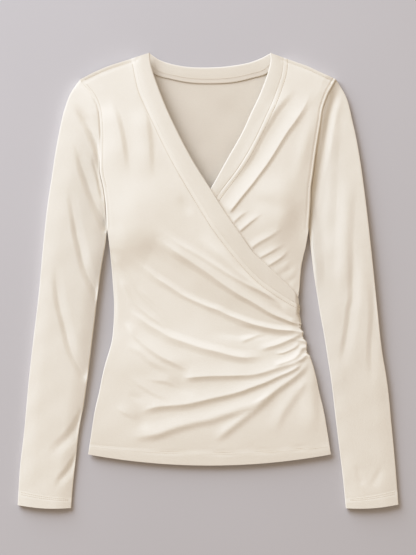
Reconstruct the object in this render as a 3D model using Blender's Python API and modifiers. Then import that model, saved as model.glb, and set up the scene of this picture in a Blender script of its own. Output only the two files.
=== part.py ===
"""A long-sleeved wrap top of cream jersey, laid flat on its back.

The frame: +Z up from the surface it lies on, +Y towards the neck, +X towards the wearer's left.
The origin is on the surface, under the middle of the garment's outline.
The tables are in millimetres, and every mesh is scaled to metres as it is made.
Each panel is an open sheet, worked out from its outline and from the height of the cloth over the
surface, and given its thickness by a Solidify modifier.
"""

import bmesh
import bpy
import numpy as np

MM = 0.001

# Driving sizes, in millimetres.
CLOTH = 1.2  # one layer of jersey
BAND = 1.8  # the neckband, doubled over
SEAM_GAP = 0.35  # between two pieces where they are sewn
ARMHOLE_GAP = 1.0  # the same at an armhole, measured sideways, where both pieces curve
LAYER_GAP = 0.5  # between two layers where they lie on each other at an edge

# Heights of the cloth's upper face over the surface.
OVER_HEIGHT = 10.0  # the over front, away from its edges
UNDER_HEIGHT = 8.6  # the under front at the shoulder
TUCKED_HEIGHT = 6.2  # the under front where the other front crosses it
HIDDEN_HEIGHT = 5.4  # the under front well below the other front
SECOND_LAYER = 2 * CLOTH + LAYER_GAP  # a layer that lies on the back panel
THIRD_LAYER = SECOND_LAYER + CLOTH + LAYER_GAP  # a layer that lies on that one
HEM_RISE = 0.4  # how much the over front's hem stands off the layers below it
UNDER_BAND_RISE = 0.7  # room for the end of the under band at the right side seam
BAND_ENDS_AT = -30.0  # the y of that end
OVER_LIFT = 2.2  # the over front over the under front
BAND_LIFT = 4.1  # the same close to the over front's own band
SLEEVE_EDGE = 2.4  # a sleeve's folded edge
SLEEVE_HEIGHT = 10.6  # a sleeve at the elbow
CUFF_HEIGHT = 7.2  # a sleeve at its cuff
CAP_HEIGHT = 6.0  # the lowest that a sleeve's crown starts from beside the armhole

# How far in from each edge the cloth takes to rise.
SHOULDER_RUN = 22.0
ARMHOLE_RUN = 32.0
SIDE_RUN = 26.0
HEM_RUN = 60.0
SLEEVE_RUN = 24.0

# Fullness over the bust: x, y and height, and its reach.
BUST_RIGHT = (-86, 112, 2.2)
BUST_LEFT = (104, 112, 1.8)
BUST_RUN = 48.0

# How many cells each grid has.
OVER_COLUMNS = 24
UNDER_COLUMNS = 20
BACK_COLUMNS = 14
BACK_BAND_STEPS = 20
BAND_COLUMNS = 3
SLEEVE_STATIONS = 19

# Armhole seams, from the shoulder tip to the underarm: y, then x at the wearer's right and left.
ARMHOLE = [
    (302, -192, 192),
    (281, -173, 180),
    (257, -164, 171),
    (225, -161, 166),
    (190, -161, 161),
    (150, -158, 156),
    (115, -153, 153),
    (80, -152, 152),
]

# Side seams, from the underarm to the hem: y, then x at the wearer's right and left.
SIDE = [
    (80, -152, 152),
    (32, -145, 143),
    (-28, -142, 137),
    (-58, -142, 139),
    (-88, -146, 146),
    (-118, -154, 154),
    (-160, -164, 166),
    (-208, -172, 177),
    (-259, -180, 185),
]

# Shoulder seams, from the neckband to the shoulder tip: y, then x at the wearer's right and left.
SHOULDER = [
    (334, -109, 112),
    (319, -152, 152),
    (302, -192, 192),
]

# Neckband of the over front, from the shoulder to the wearer's left side seam:
# the free edge's x and y, then the sewn edge's x and y.
BAND_OVER = [
    (-87, 341, -109, 334),
    (-86, 325, -108, 316),
    (-73, 288, -96, 281),
    (-48, 230, -70, 223),
    (3, 138, -17, 125),
    (50, 68, 33, 54),
    (92, 19, 77, 4),
    (117, -4, 106, -18),
    (136, -23, 137, -36),
]

# Neckband of the under front, from the shoulder to the wearer's right side seam, in the same columns.
BAND_UNDER = [
    (91, 341, 112, 334),
    (92, 326, 112, 317),
    (80, 284, 100, 276),
    (56, 232, 74, 224),
    (29, 182, 45, 174),
    (3, 138, 17, 129),
    (-44, 70, -27, 58),
    (-90, 20, -75, 5),
    (-140, -22, -141, -37),
]

# Back neckband, from the wearer's right shoulder to the left, in the same columns.
BAND_BACK = [
    (-87, 341, -109, 334),
    (-73, 332, -82, 313),
    (-42, 324, -46, 301),
    (0, 321, 0, 297),
    (44, 324, 48, 301),
    (76, 332, 84, 313),
    (91, 341, 112, 334),
]

BAND_END_TRIM = 0.012  # share of the back band's length left free at each shoulder seam
DIP = 0.25  # depth of the dip along a crease, as a share of its roll's height
HEM_DROP = 17.0  # how far the hem's middle hangs below its two corners
HEM_STEP = 3.0  # how far the hem of a layer below stays behind the over front's

# Rows of cloth across each front: the y where a row leaves the front's own armhole or side, the y
# where it ends on the neckband or the far side seam, and how many cells reach the next row.
# The over front's rows fan out from the gathered seam.
OVER_ROWS = [
    (302, 334, 5),
    (210, 225, 4),
    (130, 105, 5),
    (80, 30, 3),
    (40, -36, 6),
    (-10, -60, 6),
    (-60, -76, 6),
    (-115, -92, 6),
    (-170, -110, 5),
    (-215, -150, 4),
    (-259, -259, 0),
]
UNDER_ROWS = [
    (302, 334, 5),
    (210, 225, 4),
    (130, 120, 5),
    (80, 55, 4),
    (40, -37, 3),
    (-80, -110, 3),
    (-259, -259, 0),
]

# Height of the armhole seam over the surface: y, height.
ARMHOLE_SEAM = [(80, 3.2), (115, 4.0), (150, 5.6), (190, 7.6), (250, 8.2), (285, 6.5), (302, 4.0)]

# Height of the over front's right edge over the surface, where it leaves room for the under front and,
# higher up, for nothing: y, height.
OVER_EDGE = [(-259, 4.6), (-75, 4.6), (-45, 5.2), (-15, 5.2), (12, 3.0), (341, 3.0)]

# Folds. Each row has the height of the fold's roll, the roll's width, how far the cloth above it
# takes to come down again, and the points, x and y, of the crease below it. The crease starts at
# the seam or band that holds it, and fades out towards its last point.
OVER_FOLDS = [
    # from the gathers to the wearer's right
    (2.0, 7, 9, [(150, -48), (112, -32), (77, -14), (47, 5), (10, 41), (-23, 68), (-50, 98)]),
    (3.8, 7, 12, [(152, -76), (124, -63), (87, -43), (47, -19), (0, 11), (-43, 43), (-80, 76)]),
    (3.9, 8, 14, [(150, -86), (112, -84), (62, -74), (10, -54), (-50, -20), (-97, 11), (-128, 40)]),
    (3.3, 6, 9, [(156, -78), (140, -88), (122, -99), (104, -107), (80, -112)]),
    (3.6, 7, 13, [(130, -106), (88, -113), (33, -117), (-30, -102), (-77, -79), (-117, -51), (-140, -24)]),
    (4.6, 7, 13, [(158, -116), (124, -131), (87, -142), (25, -147), (-38, -152), (-60, -150)]),
    (4.6, 7, 12, [(158, -98), (143, -123), (115, -147), (75, -165), (10, -183), (-63, -197), (-112, -207)]),
    (2.7, 10, 14, [(152, -138), (118, -163), (80, -190), (33, -212), (-30, -227), (-90, -243)]),
    (1.8, 9, 10, [(150, -124), (133, -143), (116, -178), (102, -210), (96, -226)]),
    # from the wearer's right side seam to the left
    (2.0, 8, 10, [(-150, 24), (-124, 2), (-102, -19), (-77, -43), (-50, -56)]),
    (2.1, 8, 10, [(-150, -40), (-128, -66), (-102, -99), (-57, -126), (-36, -132)]),
    (2.0, 8, 9, [(-150, -84), (-126, -100), (-95, -121), (-57, -144), (-40, -150)]),
    (2.0, 8, 9, [(-160, -122), (-124, -144), (-77, -172), (-44, -177), (-26, -177)]),
    (1.5, 8, 8, [(-170, -160), (-138, -188), (-102, -212), (-84, -220)]),
    # soft falls from the shoulder
    (1.5, 10, 12, [(-156, 282), (-130, 226), (-122, 180), (-116, 140)]),
]

UNDER_FOLDS = [
    # the long crease from the band to the armhole, and the soft one above it
    (3.9, 7, 14, [(14, 72), (31, 95), (58, 132), (89, 168), (108, 191), (126, 218), (151, 266)]),
    (1.8, 10, 12, [(2, 90), (19, 115), (43, 149), (67, 179), (94, 232), (121, 281)]),
    # tucks drawn under the other front's band
    (1.8, 5, 6, [(28, 68), (41, 86), (60, 106), (72, 116)]),
    (2.5, 5, 7, [(38, 52), (50, 68), (78, 91), (92, 100)]),
    (2.7, 5, 7, [(54, 28), (68, 44), (100, 68), (114, 78)]),
    (2.5, 5, 7, [(78, 6), (92, 20), (116, 36), (130, 46)]),
    (2.1, 5, 6, [(96, -8), (104, 2), (122, 14), (132, 20)]),
]

# Gathers of the left side seam: the y of each ridge where it leaves the seam, and its height.
GATHERS = [(-50, 1.2), (-60, 1.4), (-70, 1.6), (-80, 1.8), (-90, 2.0), (-99, 1.8), (-108, 1.6)]
GATHER_REACH = 24.0  # how far in from the seam the gathers run
GATHER_WIDTH = 3.4
GATHER_SLANT = 0.12  # how much each rises for every millimetre in from the seam

# Sleeve edges, from the shoulder to the cuff: the outer fold's x at the wearer's right and at the
# left, its y, then the inner fold's x (without its sign) and y.
SLEEVE = [
    (-192, 192, 302, 152, 80),
    (-215, 212, 260, 155, 53),
    (-227, 221, 208, 158, 29),
    (-236, 231, 149, 161, 2),
    (-244, 239, 85, 166, -34),
    (-253, 249, 2, 174, -88),
    (-261, 258, -80, 182, -142),
    (-268, 267, -155, 190, -200),
    (-276, 275, -223, 196, -253),
    (-282, 281, -290, 202, -301),
    (-285, 285, -336, 206, -340),
]
SLEEVE_WIDTH = 95.0  # across the upper arm
SLEEVE_ROLL = 3.0  # how far the underside stays in from a folded edge
CUFF_BOW = 2.8  # how far the cuff's edge bows below the line between its two corners

SLEEVE_FOLDS = {
    "right": [
        (1.8, 7, 10, [(-204, 296), (-194, 267), (-182, 239), (-171, 210), (-160, 176)]),
        (1.4, 9, 10, [(-194, 67), (-190, 104), (-179, 150), (-164, 205)]),
        (1.0, 9, 12, [(-189, 44), (-198, 90), (-207, 135), (-212, 170)]),
        (1.2, 8, 10, [(-186, -217), (-205, -236), (-225, -261), (-240, -280)]),
        (1.2, 8, 10, [(-194, -254), (-208, -275), (-221, -298), (-232, -316)]),
    ],
    "left": [
        (2.2, 7, 10, [(151, 62), (156, 90), (157, 135), (166, 180), (177, 226), (190, 272)]),
        (1.4, 9, 12, [(188, 44), (190, 117), (197, 204), (200, 260)]),
        (1.0, 9, 12, [(196, -190), (216, -230), (238, -262), (250, -285)]),
    ],
}

JERSEY = (0.846, 0.783, 0.694, 1.0)
BAND_JERSEY = (0.855, 0.792, 0.703, 1.0)


def smooth_line(points, shares):
    """Points on a smooth curve through the given ones, each at a share of the curve's length."""
    knots = np.array(points, float)
    chord = np.concatenate([[0.0], np.cumsum(np.hypot(*np.diff(knots, axis=0).T))])
    slope = np.gradient(knots, chord, axis=0)
    fine = np.linspace(0, chord[-1], 24 * len(knots))
    k = np.clip(np.searchsorted(chord, fine, side="right") - 1, 0, len(knots) - 2)
    h = (chord[k + 1] - chord[k])[:, None]
    t = (fine[:, None] - chord[k][:, None]) / h
    start = (1 + 2 * t) * (1 - t) ** 2 * knots[k] + t * (1 - t) ** 2 * h * slope[k]
    end = t**2 * (3 - 2 * t) * knots[k + 1] + t**2 * (t - 1) * h * slope[k + 1]
    curve = start + end
    length = np.concatenate([[0.0], np.cumsum(np.hypot(*np.diff(curve, axis=0).T))])
    wanted = np.asarray(shares) * length[-1]
    return np.stack([np.interp(wanted, length, curve[:, 0]), np.interp(wanted, length, curve[:, 1])], 1)


def evenly(steps):
    return np.linspace(0, 1, steps + 1)


def towards_edges(steps, crowding=0.6):
    """Shares from 0 to 1 that lie closer together near both ends."""
    even = evenly(steps)
    return even - crowding * np.sin(2 * np.pi * even) / (2 * np.pi)


def side_line(rows, side, shares):
    """The curve of one side of a table with a y, a right x and a left x in each row."""
    return smooth_line([(row[side], row[0]) for row in rows], shares)


def distance(x, y, line):
    """Each point's distance to a line, positive to the left of its direction, and the share of it passed."""
    start = line[:-1]
    step = line[1:] - start
    from_x = x.reshape(-1, 1) - start[:, 0]
    from_y = y.reshape(-1, 1) - start[:, 1]
    along = (from_x * step[:, 0] + from_y * step[:, 1]) / (step**2).sum(1)
    along = np.clip(along, 0, 1)
    away = np.hypot(from_x - along * step[:, 0], from_y - along * step[:, 1])
    nearest = away.argmin(1)
    row = np.arange(len(nearest))
    turn = step[nearest, 0] * from_y[row, nearest] - step[nearest, 1] * from_x[row, nearest]
    passed = (nearest + along[row, nearest]) / len(start)
    signed = away[row, nearest] * np.where(turn < 0, -1, 1)
    return signed.reshape(x.shape), passed.reshape(x.shape)


def smooth_step(value):
    value = np.clip(value, 0, 1)
    return value * value * (3 - 2 * value)


def rise(away, run):
    """How far the cloth has risen this far in from an edge: 0 at the edge, 1 past the run."""
    return np.sin(np.clip(away / run, 0, 1) * np.pi / 2)


def interpolate(rows, at):
    """A value read from a table of two columns."""
    ordered = sorted(rows)
    return np.interp(at, [row[0] for row in ordered], [row[1] for row in ordered])


def fold_height(x, y, folds):
    """What the folds add to the cloth's height: a roll over each crease, and a dip along it."""
    total = np.zeros_like(x)
    for height, roll, reach, points in folds:
        line = smooth_line(points, evenly(20))
        away, passed = distance(x, y, line)
        # A line that runs leftwards has its upper side on its right.
        above = -away if line[0, 0] > line[-1, 0] else away
        rolled = smooth_step(above / roll) * np.exp(-((np.maximum(above - roll, 0) / reach) ** 2))
        dip = DIP * np.exp(-((above / roll) ** 2))
        total += height * (rolled - dip) * smooth_step((1 - passed) / 0.4)
    return total


def hem_line(start_x, end_x, shares, raised=0.0):
    """The hem, from one corner to the other: a shallow bow below its corners."""
    corner_y = SIDE[-1][0]
    middle = (SIDE[-1][1] + SIDE[-1][2]) / 2
    half = (SIDE[-1][2] - SIDE[-1][1]) / 2
    x = start_x + (end_x - start_x) * np.asarray(shares)
    y = corner_y - HEM_DROP * (1 - ((x - middle) / half) ** 2) + raised
    return np.stack([x, y], 1)


def from_edges(x, y, curve_of, rows):
    """Distance to the nearer of the two curves that a table holds, one for each side."""
    curves = [curve_of(rows, side, evenly(30)) for side in (1, 2)]
    return np.min([np.abs(distance(x, y, curve)[0]) for curve in curves], axis=0)


def front_crown(x, y, height, edge, hem_height):
    """Height of a front over the surface, before its folds. edge is its height at the side seams."""
    hem = hem_line(SIDE[-1][1], SIDE[-1][2], evenly(30))
    to_hem = np.abs(distance(x, y, hem)[0])
    seam = interpolate(ARMHOLE_SEAM, y)
    inside = seam + (height - seam) * rise(from_edges(x, y, side_line, ARMHOLE), ARMHOLE_RUN)
    inside = hem_height + (inside - hem_height) * rise(to_hem, HEM_RUN)
    to_shoulder = from_edges(x, y, side_line, SHOULDER)
    to_side = from_edges(x, y, side_line, SIDE)
    return edge + (inside - edge) * rise(to_shoulder, SHOULDER_RUN) * rise(to_side, SIDE_RUN)


def bust(x, y, fullness):
    """The fullness of a front over the bust."""
    centre_x, centre_y, height = fullness
    return height * np.exp(-((x - centre_x) ** 2 + (y - centre_y) ** 2) / BUST_RUN**2)


def past_over_band(x, y):
    """Distance past the over front's free edge: positive where the under front shows."""
    line = smooth_line([row[:2] for row in BAND_OVER], evenly(48))
    return distance(x, y, line)[0]


def under_base(x, y):
    """Top of the under front over the surface, without its tucks."""
    past = past_over_band(x, y)
    height = TUCKED_HEIGHT + (UNDER_HEIGHT - TUCKED_HEIGHT) * smooth_step(past / 60)
    seen = front_crown(x, y, height, SECOND_LAYER, SECOND_LAYER)
    seen += bust(x, y, BUST_LEFT) * smooth_step(past / 50)
    edge = SECOND_LAYER + UNDER_BAND_RISE * np.exp(-(((y - BAND_ENDS_AT) / 14) ** 2))
    hidden = front_crown(x, y, HIDDEN_HEIGHT, edge, SECOND_LAYER)
    hidden = np.clip(hidden, edge, HIDDEN_HEIGHT)
    return hidden + (seen - hidden) * smooth_step((past + 42) / 32)


def under_top(x, y):
    """Top of the under front over the surface. Its tucks start at the other front's edge."""
    showing = smooth_step(past_over_band(x, y) / 5)
    return under_base(x, y) + fold_height(x, y, UNDER_FOLDS) * showing


def gather_height(x, y):
    """What the gathers of the left side seam add to the over front's height."""
    seam = side_line(SIDE, 2, evenly(30))
    in_from_seam = np.abs(distance(x, y, seam)[0])
    total = np.zeros_like(x)
    for ridge_y, height in GATHERS:
        off_ridge = (y - ridge_y - GATHER_SLANT * in_from_seam) / GATHER_WIDTH
        total += height * np.exp(-(off_ridge**2) - (in_from_seam / GATHER_REACH) ** 2)
    return total


def over_top(x, y):
    """Top of the over front over the surface. Near its band it lies on the under front."""
    past = past_over_band(x, y)
    edge = np.where(x > 0, THIRD_LAYER, interpolate(OVER_EDGE, y))
    own = front_crown(x, y, OVER_HEIGHT, edge, THIRD_LAYER + HEM_RISE) + bust(x, y, BUST_RIGHT)
    own += fold_height(x, y, OVER_FOLDS) * smooth_step((-past - 48) / 12)
    own += gather_height(x, y)
    lift = OVER_LIFT + (BAND_LIFT - OVER_LIFT) * smooth_step((past + 46) / 18)
    resting = under_base(x, y) + lift
    # The higher of the two, with a rounded change from one to the other.
    return (own + resting + np.sqrt((own - resting) ** 2 + 0.6)) / 2


def patch(near, far, top, bottom):
    """A grid of points between four curves: rows run from near to far, columns from top to bottom."""
    down = np.linspace(0, 1, len(near))[:, None, None]
    across = np.linspace(0, 1, len(top))[None, :, None]
    from_sides = (1 - across) * near[:, None] + across * far[:, None]
    from_ends = (1 - down) * top[None] + down * bottom[None]
    corners = (1 - across) * (1 - down) * near[0] + across * (1 - down) * far[0]
    corners = corners + (1 - across) * down * near[-1] + across * down * far[-1]
    return from_sides + from_ends - corners


def sheet_object(name, grid, height, thickness, material):
    """A sheet of cloth through a grid of x and y points, at the given heights, with its thickness below."""
    rows, columns = grid.shape[:2]
    bm = bmesh.new()
    bmesh.ops.create_grid(bm, x_segments=columns - 1, y_segments=rows - 1, size=1)
    for vertex in bm.verts:
        column = round((vertex.co.x + 1) / 2 * (columns - 1))
        row = round((vertex.co.y + 1) / 2 * (rows - 1))
        x, y = grid[row, column]
        vertex.co = (x * MM, y * MM, height[row, column] * MM)
    bm.normal_update()
    if sum(face.normal.z * face.calc_area() for face in bm.faces) < 0:
        bmesh.ops.reverse_faces(bm, faces=bm.faces)
    finish(name, bm, thickness, material)


def finish(name, bm, thickness, material):
    """Makes the object and gives its sheet a thickness, on the side away from its normals."""
    mesh = bpy.data.meshes.new(name)
    bm.to_mesh(mesh)
    bm.free()
    mesh.materials.append(material)
    mesh.shade_smooth()
    piece = bpy.data.objects.new(name, mesh)
    garment.objects.link(piece)
    piece.parent = root
    wall = piece.modifiers.new("Cloth thickness", "SOLIDIFY")
    wall.thickness = thickness * MM
    wall.offset = -1
    wall.use_even_offset = False


def jersey(name, colour):
    material = bpy.data.materials.new(name)
    material.use_nodes = True
    shader = material.node_tree.nodes["Principled BSDF"]
    shader.inputs["Base Color"].default_value = colour
    shader.inputs["Roughness"].default_value = 0.9
    shader.inputs["Metallic"].default_value = 0.0
    return material


def row_levels(rows):
    """Where each row of a front starts and ends: two lists of y."""
    own_y, far_y = [rows[0][0]], [rows[0][1]]
    for (own_start, far_start, count), (own_end, far_end, _) in zip(rows, rows[1:]):
        own_y.extend(own_start + (own_end - own_start) * evenly(count)[1:])
        far_y.extend(far_start + (far_end - far_start) * evenly(count)[1:])
    return np.array(own_y, float), np.array(far_y, float)


def armhole_points(side):
    """The armhole seam at the levels that the fronts, the back and the sleeve share."""
    levels = row_levels(OVER_ROWS)[0]
    return at_heights(side_line(ARMHOLE, side, evenly(100)), levels[levels >= ARMHOLE[-1][0]])


def front_grid(side, other, band, rows, columns, hem_raised):
    """A front's points. side is its own shoulder's column in the tables, other the far side's."""
    own_y, far_y = row_levels(rows)
    armhole = side_line(ARMHOLE, side, evenly(100))
    own = np.concatenate([armhole, side_line(SIDE, side, evenly(100))[1:]])
    sewn = smooth_line([row[2:] for row in band], evenly(100))
    seam = side_line(SIDE, other, evenly(200))
    far = np.concatenate([sewn, seam[seam[:, 1] < sewn[-1, 1] - 1]])
    shares = towards_edges(columns, 0.5)
    near_edge = at_heights(own, own_y)
    far_edge = at_heights(far, far_y)
    shoulder = side_line(SHOULDER, side, 1 - shares)
    hem = hem_line(near_edge[-1, 0], far_edge[-1, 0], shares, hem_raised)
    near_edge[0], far_edge[0] = shoulder[0], shoulder[-1]
    near_edge[-1], far_edge[-1] = hem[0], hem[-1]
    return patch(near_edge, far_edge, shoulder, hem)


def at_heights(line, levels):
    """The points where a line that runs down the garment crosses the given levels of y."""
    levels = np.array(levels, float)
    return np.stack([np.interp(-levels, -line[:, 1], line[:, 0]), levels], 1)


def front_over():
    """The wearer's right front, which wraps over and is gathered into the left side seam."""
    grid = front_grid(1, 2, BAND_OVER, OVER_ROWS, OVER_COLUMNS, 0.0)
    sheet_object("front_over", grid, over_top(grid[..., 0], grid[..., 1]), CLOTH, cream)


def front_under():
    """The wearer's left front, which passes below the other to the right side seam."""
    grid = front_grid(2, 1, BAND_UNDER, UNDER_ROWS, UNDER_COLUMNS, HEM_STEP)
    sheet_object("front_under", grid, under_top(grid[..., 0], grid[..., 1]), CLOTH, cream)


def band_shares(band, rows):
    """How far along a front's neckband each of the front's rows ends."""
    shares = evenly(100)
    sewn = smooth_line([row[2:] for row in band], shares)
    ends = row_levels(rows)[1]
    return np.interp(-ends[ends >= sewn[-1, 1]], -sewn[:, 1], shares)


def neckband(name, band, shares, top_of):
    """A band from its sewn edge to its free one, along the rows of a table."""
    free = smooth_line([row[:2] for row in band], shares)
    sewn = smooth_line([row[2:] for row in band], shares)
    width = free - sewn
    sewn = sewn + width / np.hypot(*width.T)[:, None] * SEAM_GAP
    across = evenly(BAND_COLUMNS)[None, :, None]
    grid = sewn[:, None] * (1 - across) + free[:, None] * across
    sheet_object(name, grid, top_of(grid[..., 0], grid[..., 1]), BAND, band_cream)


def neckband_back():
    """The back band, flat on the surface, clear of the front bands at its ends."""
    shares = BAND_END_TRIM + (1 - 2 * BAND_END_TRIM) * evenly(BACK_BAND_STEPS)
    neckband("neckband_back", BAND_BACK, shares, lambda x, y: np.full_like(x, BAND))


def back_panel():
    """The back, flat on the surface, between its shoulders, armholes, sides, hem and neckband."""
    shares = evenly(BACK_COLUMNS)
    neck = smooth_line([row[2:] for row in BAND_BACK], shares)
    neck[:, 1] -= 1.5 * SEAM_GAP
    hem = hem_line(SIDE[-1][1], SIDE[-1][2], shares, HEM_STEP)
    edges = []
    for side in (1, 2):
        shoulder = side_line(SHOULDER, side, evenly(3))
        flank = side_line(SIDE, side, evenly(12))
        edges.append(np.concatenate([shoulder, armhole_points(side)[1:], flank[1:]]))
    for edge, column in zip(edges, (0, -1)):
        edge[0], edge[-1] = neck[column], hem[column]
    grid = patch(*edges, neck, hem)
    sheet_object("back_panel", grid, np.full(grid.shape[:2], CLOTH), CLOTH, cream)


def sleeve(name, side):
    """A sleeve as a flattened tube, from the armhole seam to the cuff, flat where it rests."""
    sign = -1 if side == "right" else 1
    stations = evenly(SLEEVE_STATIONS)
    outer = smooth_line([(row[0 if side == "right" else 1], row[2]) for row in SLEEVE], stations)
    inner = smooth_line([(row[3] * sign, row[4]) for row in SLEEVE], stations)
    armhole = armhole_points(1 if side == "right" else 2)
    armhole[:, 0] += sign * ARMHOLE_GAP
    outer[0], inner[0] = armhole[0], armhole[-1]
    over = (armhole[0, 1] - armhole[:, 1]) / (armhole[0, 1] - armhole[-1, 1])
    straight = armhole[0] + (armhole[-1] - armhole[0]) * over[:, None]
    rings = []
    for share, start, end in zip(stations, outer, inner):
        line = start + (end - start) * over[:, None]
        line += (armhole - straight) * (1 - smooth_step(share / 0.5)) * (1 - share)
        line[:, 1] -= CUFF_BOW * smooth_step((share - 0.9) / 0.1) * np.sin(np.pi * over)
        rings.append(ring_points(line, over, share, armhole, side))
    tube_object(name, np.array(rings))


def ring_points(line, over, share, armhole, side):
    """One section of a sleeve: over its top from the outer fold to the inner one, and back underneath."""
    width = np.hypot(*(line[-1] - line[0]))
    height = SLEEVE_HEIGHT + (CUFF_HEIGHT - SLEEVE_HEIGHT) * smooth_step((share - 0.35) / 0.65)
    to_armhole = np.abs(distance(line[:, 0], line[:, 1], armhole)[0])
    seam = interpolate(ARMHOLE_SEAM, line[:, 1])
    seam = seam if share == 0 else np.maximum(seam, CAP_HEIGHT)
    crown = seam + (height - seam) * rise(to_armhole, ARMHOLE_RUN)
    to_fold = np.minimum(over, 1 - over) * min(width, SLEEVE_WIDTH)
    top = SLEEVE_EDGE + (crown - SLEEVE_EDGE) * rise(to_fold, SLEEVE_RUN)
    top = top + fold_height(line[:, 0], line[:, 1], SLEEVE_FOLDS[side]) * rise(to_fold, SLEEVE_RUN / 2)
    inset = SLEEVE_ROLL / width
    back = np.clip(over, inset, 1 - inset)[::-1]
    under_x = np.interp(back, over, line[:, 0])
    under_y = np.interp(back, over, line[:, 1])
    x = np.concatenate([line[:, 0], under_x])
    y = np.concatenate([line[:, 1], under_y])
    z = np.concatenate([top, np.zeros(len(back))])
    return np.stack([x, y, z], 1)


def tube_object(name, rings):
    """A tube through rings of points: a grid rolled up and welded along its length."""
    stations, around = rings.shape[:2]
    bm = bmesh.new()
    bmesh.ops.create_grid(bm, x_segments=around, y_segments=stations - 1, size=1)
    for vertex in bm.verts:
        column = round((vertex.co.x + 1) / 2 * around) % around
        row = round((vertex.co.y + 1) / 2 * (stations - 1))
        vertex.co = rings[row, column] * MM
    bmesh.ops.remove_doubles(bm, verts=bm.verts, dist=0.00001)
    bmesh.ops.recalc_face_normals(bm, faces=bm.faces)
    bm.normal_update()
    top = max(bm.faces, key=lambda face: face.calc_center_median().z)
    if top.normal.z < 0:
        bmesh.ops.reverse_faces(bm, faces=bm.faces)
    finish(name, bm, CLOTH, cream)


for leftover in list(bpy.data.objects):
    bpy.data.objects.remove(leftover, do_unlink=True)

garment = bpy.data.collections.new("wrap_top")
bpy.context.scene.collection.children.link(garment)
root = bpy.data.objects.new("wrap_top_origin", None)
garment.objects.link(root)
cream = jersey("cream_jersey", JERSEY)
band_cream = jersey("cream_jersey_band", BAND_JERSEY)

back_panel()
front_under()
front_over()
neckband_back()
neckband("neckband_under", BAND_UNDER, band_shares(BAND_UNDER, UNDER_ROWS), under_top)
neckband("neckband_over", BAND_OVER, band_shares(BAND_OVER, OVER_ROWS), over_top)
sleeve("sleeve_right", "right")
sleeve("sleeve_left", "left")
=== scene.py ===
import bpy
import numpy as np
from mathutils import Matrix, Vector


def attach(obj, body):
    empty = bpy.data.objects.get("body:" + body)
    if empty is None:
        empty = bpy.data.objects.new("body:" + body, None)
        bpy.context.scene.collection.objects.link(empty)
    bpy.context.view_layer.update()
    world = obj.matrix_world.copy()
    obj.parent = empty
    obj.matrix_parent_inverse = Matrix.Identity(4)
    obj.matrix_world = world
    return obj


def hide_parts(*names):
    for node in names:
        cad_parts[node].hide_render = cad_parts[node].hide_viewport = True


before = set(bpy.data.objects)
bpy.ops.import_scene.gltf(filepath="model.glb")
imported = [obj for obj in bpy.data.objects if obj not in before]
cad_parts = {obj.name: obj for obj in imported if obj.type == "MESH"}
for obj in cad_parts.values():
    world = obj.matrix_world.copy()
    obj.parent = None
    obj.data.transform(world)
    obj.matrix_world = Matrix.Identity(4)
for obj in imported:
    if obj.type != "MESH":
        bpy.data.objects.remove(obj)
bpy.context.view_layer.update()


# ---------------------------------------------------------------------------------------------
# The board that the top lies on, the light over it and the camera.
# The board is painted matt grey. A large window stands low at the upper left, and cream walls all
# round fill the shadows. The camera looks straight down through a long lens.
# ---------------------------------------------------------------------------------------------
MM = 0.001
VIEW_HEIGHT = 832.5 * MM  # what the camera frames, from top to bottom
VIEW_CENTRE = Vector((-0.15, 5.6, 0)) * MM
LENS = 120.0
SENSOR = 36.0
BOARD_SIZE = 8.0
BOARD_TOP = -0.2 * MM
WINDOW_PLACE = Vector((-2.7, 3.4, 2.0))
WINDOW_SIZE = (4.2, 3.6)
WINDOW_POWER = 440.0
DAYLIGHT = (0.74, 0.84, 1.0)
FILM = [(0.55, 0.55), (0.8, 0.785), (1.0, 0.93)]  # the light it gets, and the light it shows


def linear(hex_colour):
    """An sRGB hex colour as the linear values that a shader takes."""
    channels = [int(hex_colour[k : k + 2], 16) / 255 for k in (1, 3, 5)]
    return [c / 12.92 if c <= 0.04045 else ((c + 0.055) / 1.055) ** 2.4 for c in channels] + [1.0]


def add_node(tree, kind, settings=None, **inputs):
    """Adds a node. Inputs are named, or _0, _1 and so on, and each is a value or a socket to link."""
    node = tree.nodes.new(kind)
    for name, value in (settings or {}).items():
        setattr(node, name, value)
    for name, value in inputs.items():
        socket = node.inputs[int(name[1:]) if name[0] == "_" else name.replace("_", " ")]
        if isinstance(value, bpy.types.NodeSocket):
            tree.links.new(value, socket)
        else:
            socket.default_value = value
    return node


def new_material(name):
    """A material, its node tree and its Principled shader."""
    material = bpy.data.materials.new(name)
    material.use_nodes = True
    return material, material.node_tree, material.node_tree.nodes["Principled BSDF"]


def deselect_all():
    for item in bpy.context.selected_objects:
        item.select_set(False)


# Matt emulsion paint, rolled on: no gloss, and slow changes of tone of one part in forty.
paint, tree, shader = new_material("matt_grey_paint")
place = add_node(tree, "ShaderNodeTexCoord")
clouds = add_node(tree, "ShaderNodeTexNoise", Vector=place.outputs["Object"], Scale=3.0, Detail=2.0)
tone = add_node(
    tree,
    "ShaderNodeMix",
    {"data_type": "RGBA"},
    _0=clouds.outputs["Fac"],
    _6=linear("#bfbab9"),
    _7=linear("#c4bfbe"),
)
tree.links.new(tone.outputs[2], shader.inputs["Base Color"])
shader.inputs["Roughness"].default_value = 0.85

deselect_all()
bpy.ops.mesh.primitive_plane_add(size=BOARD_SIZE, location=(0, 0, BOARD_TOP))
board = bpy.context.object
board.name = "board"
board.data.materials.append(paint)

deselect_all()
bpy.ops.object.camera_add(location=VIEW_CENTRE + Vector((0, 0, VIEW_HEIGHT * LENS / SENSOR)))
camera = bpy.context.object
camera.data.lens = LENS
camera.data.sensor_width = SENSOR
camera.data.clip_end = 20
bpy.context.scene.camera = camera

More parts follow.
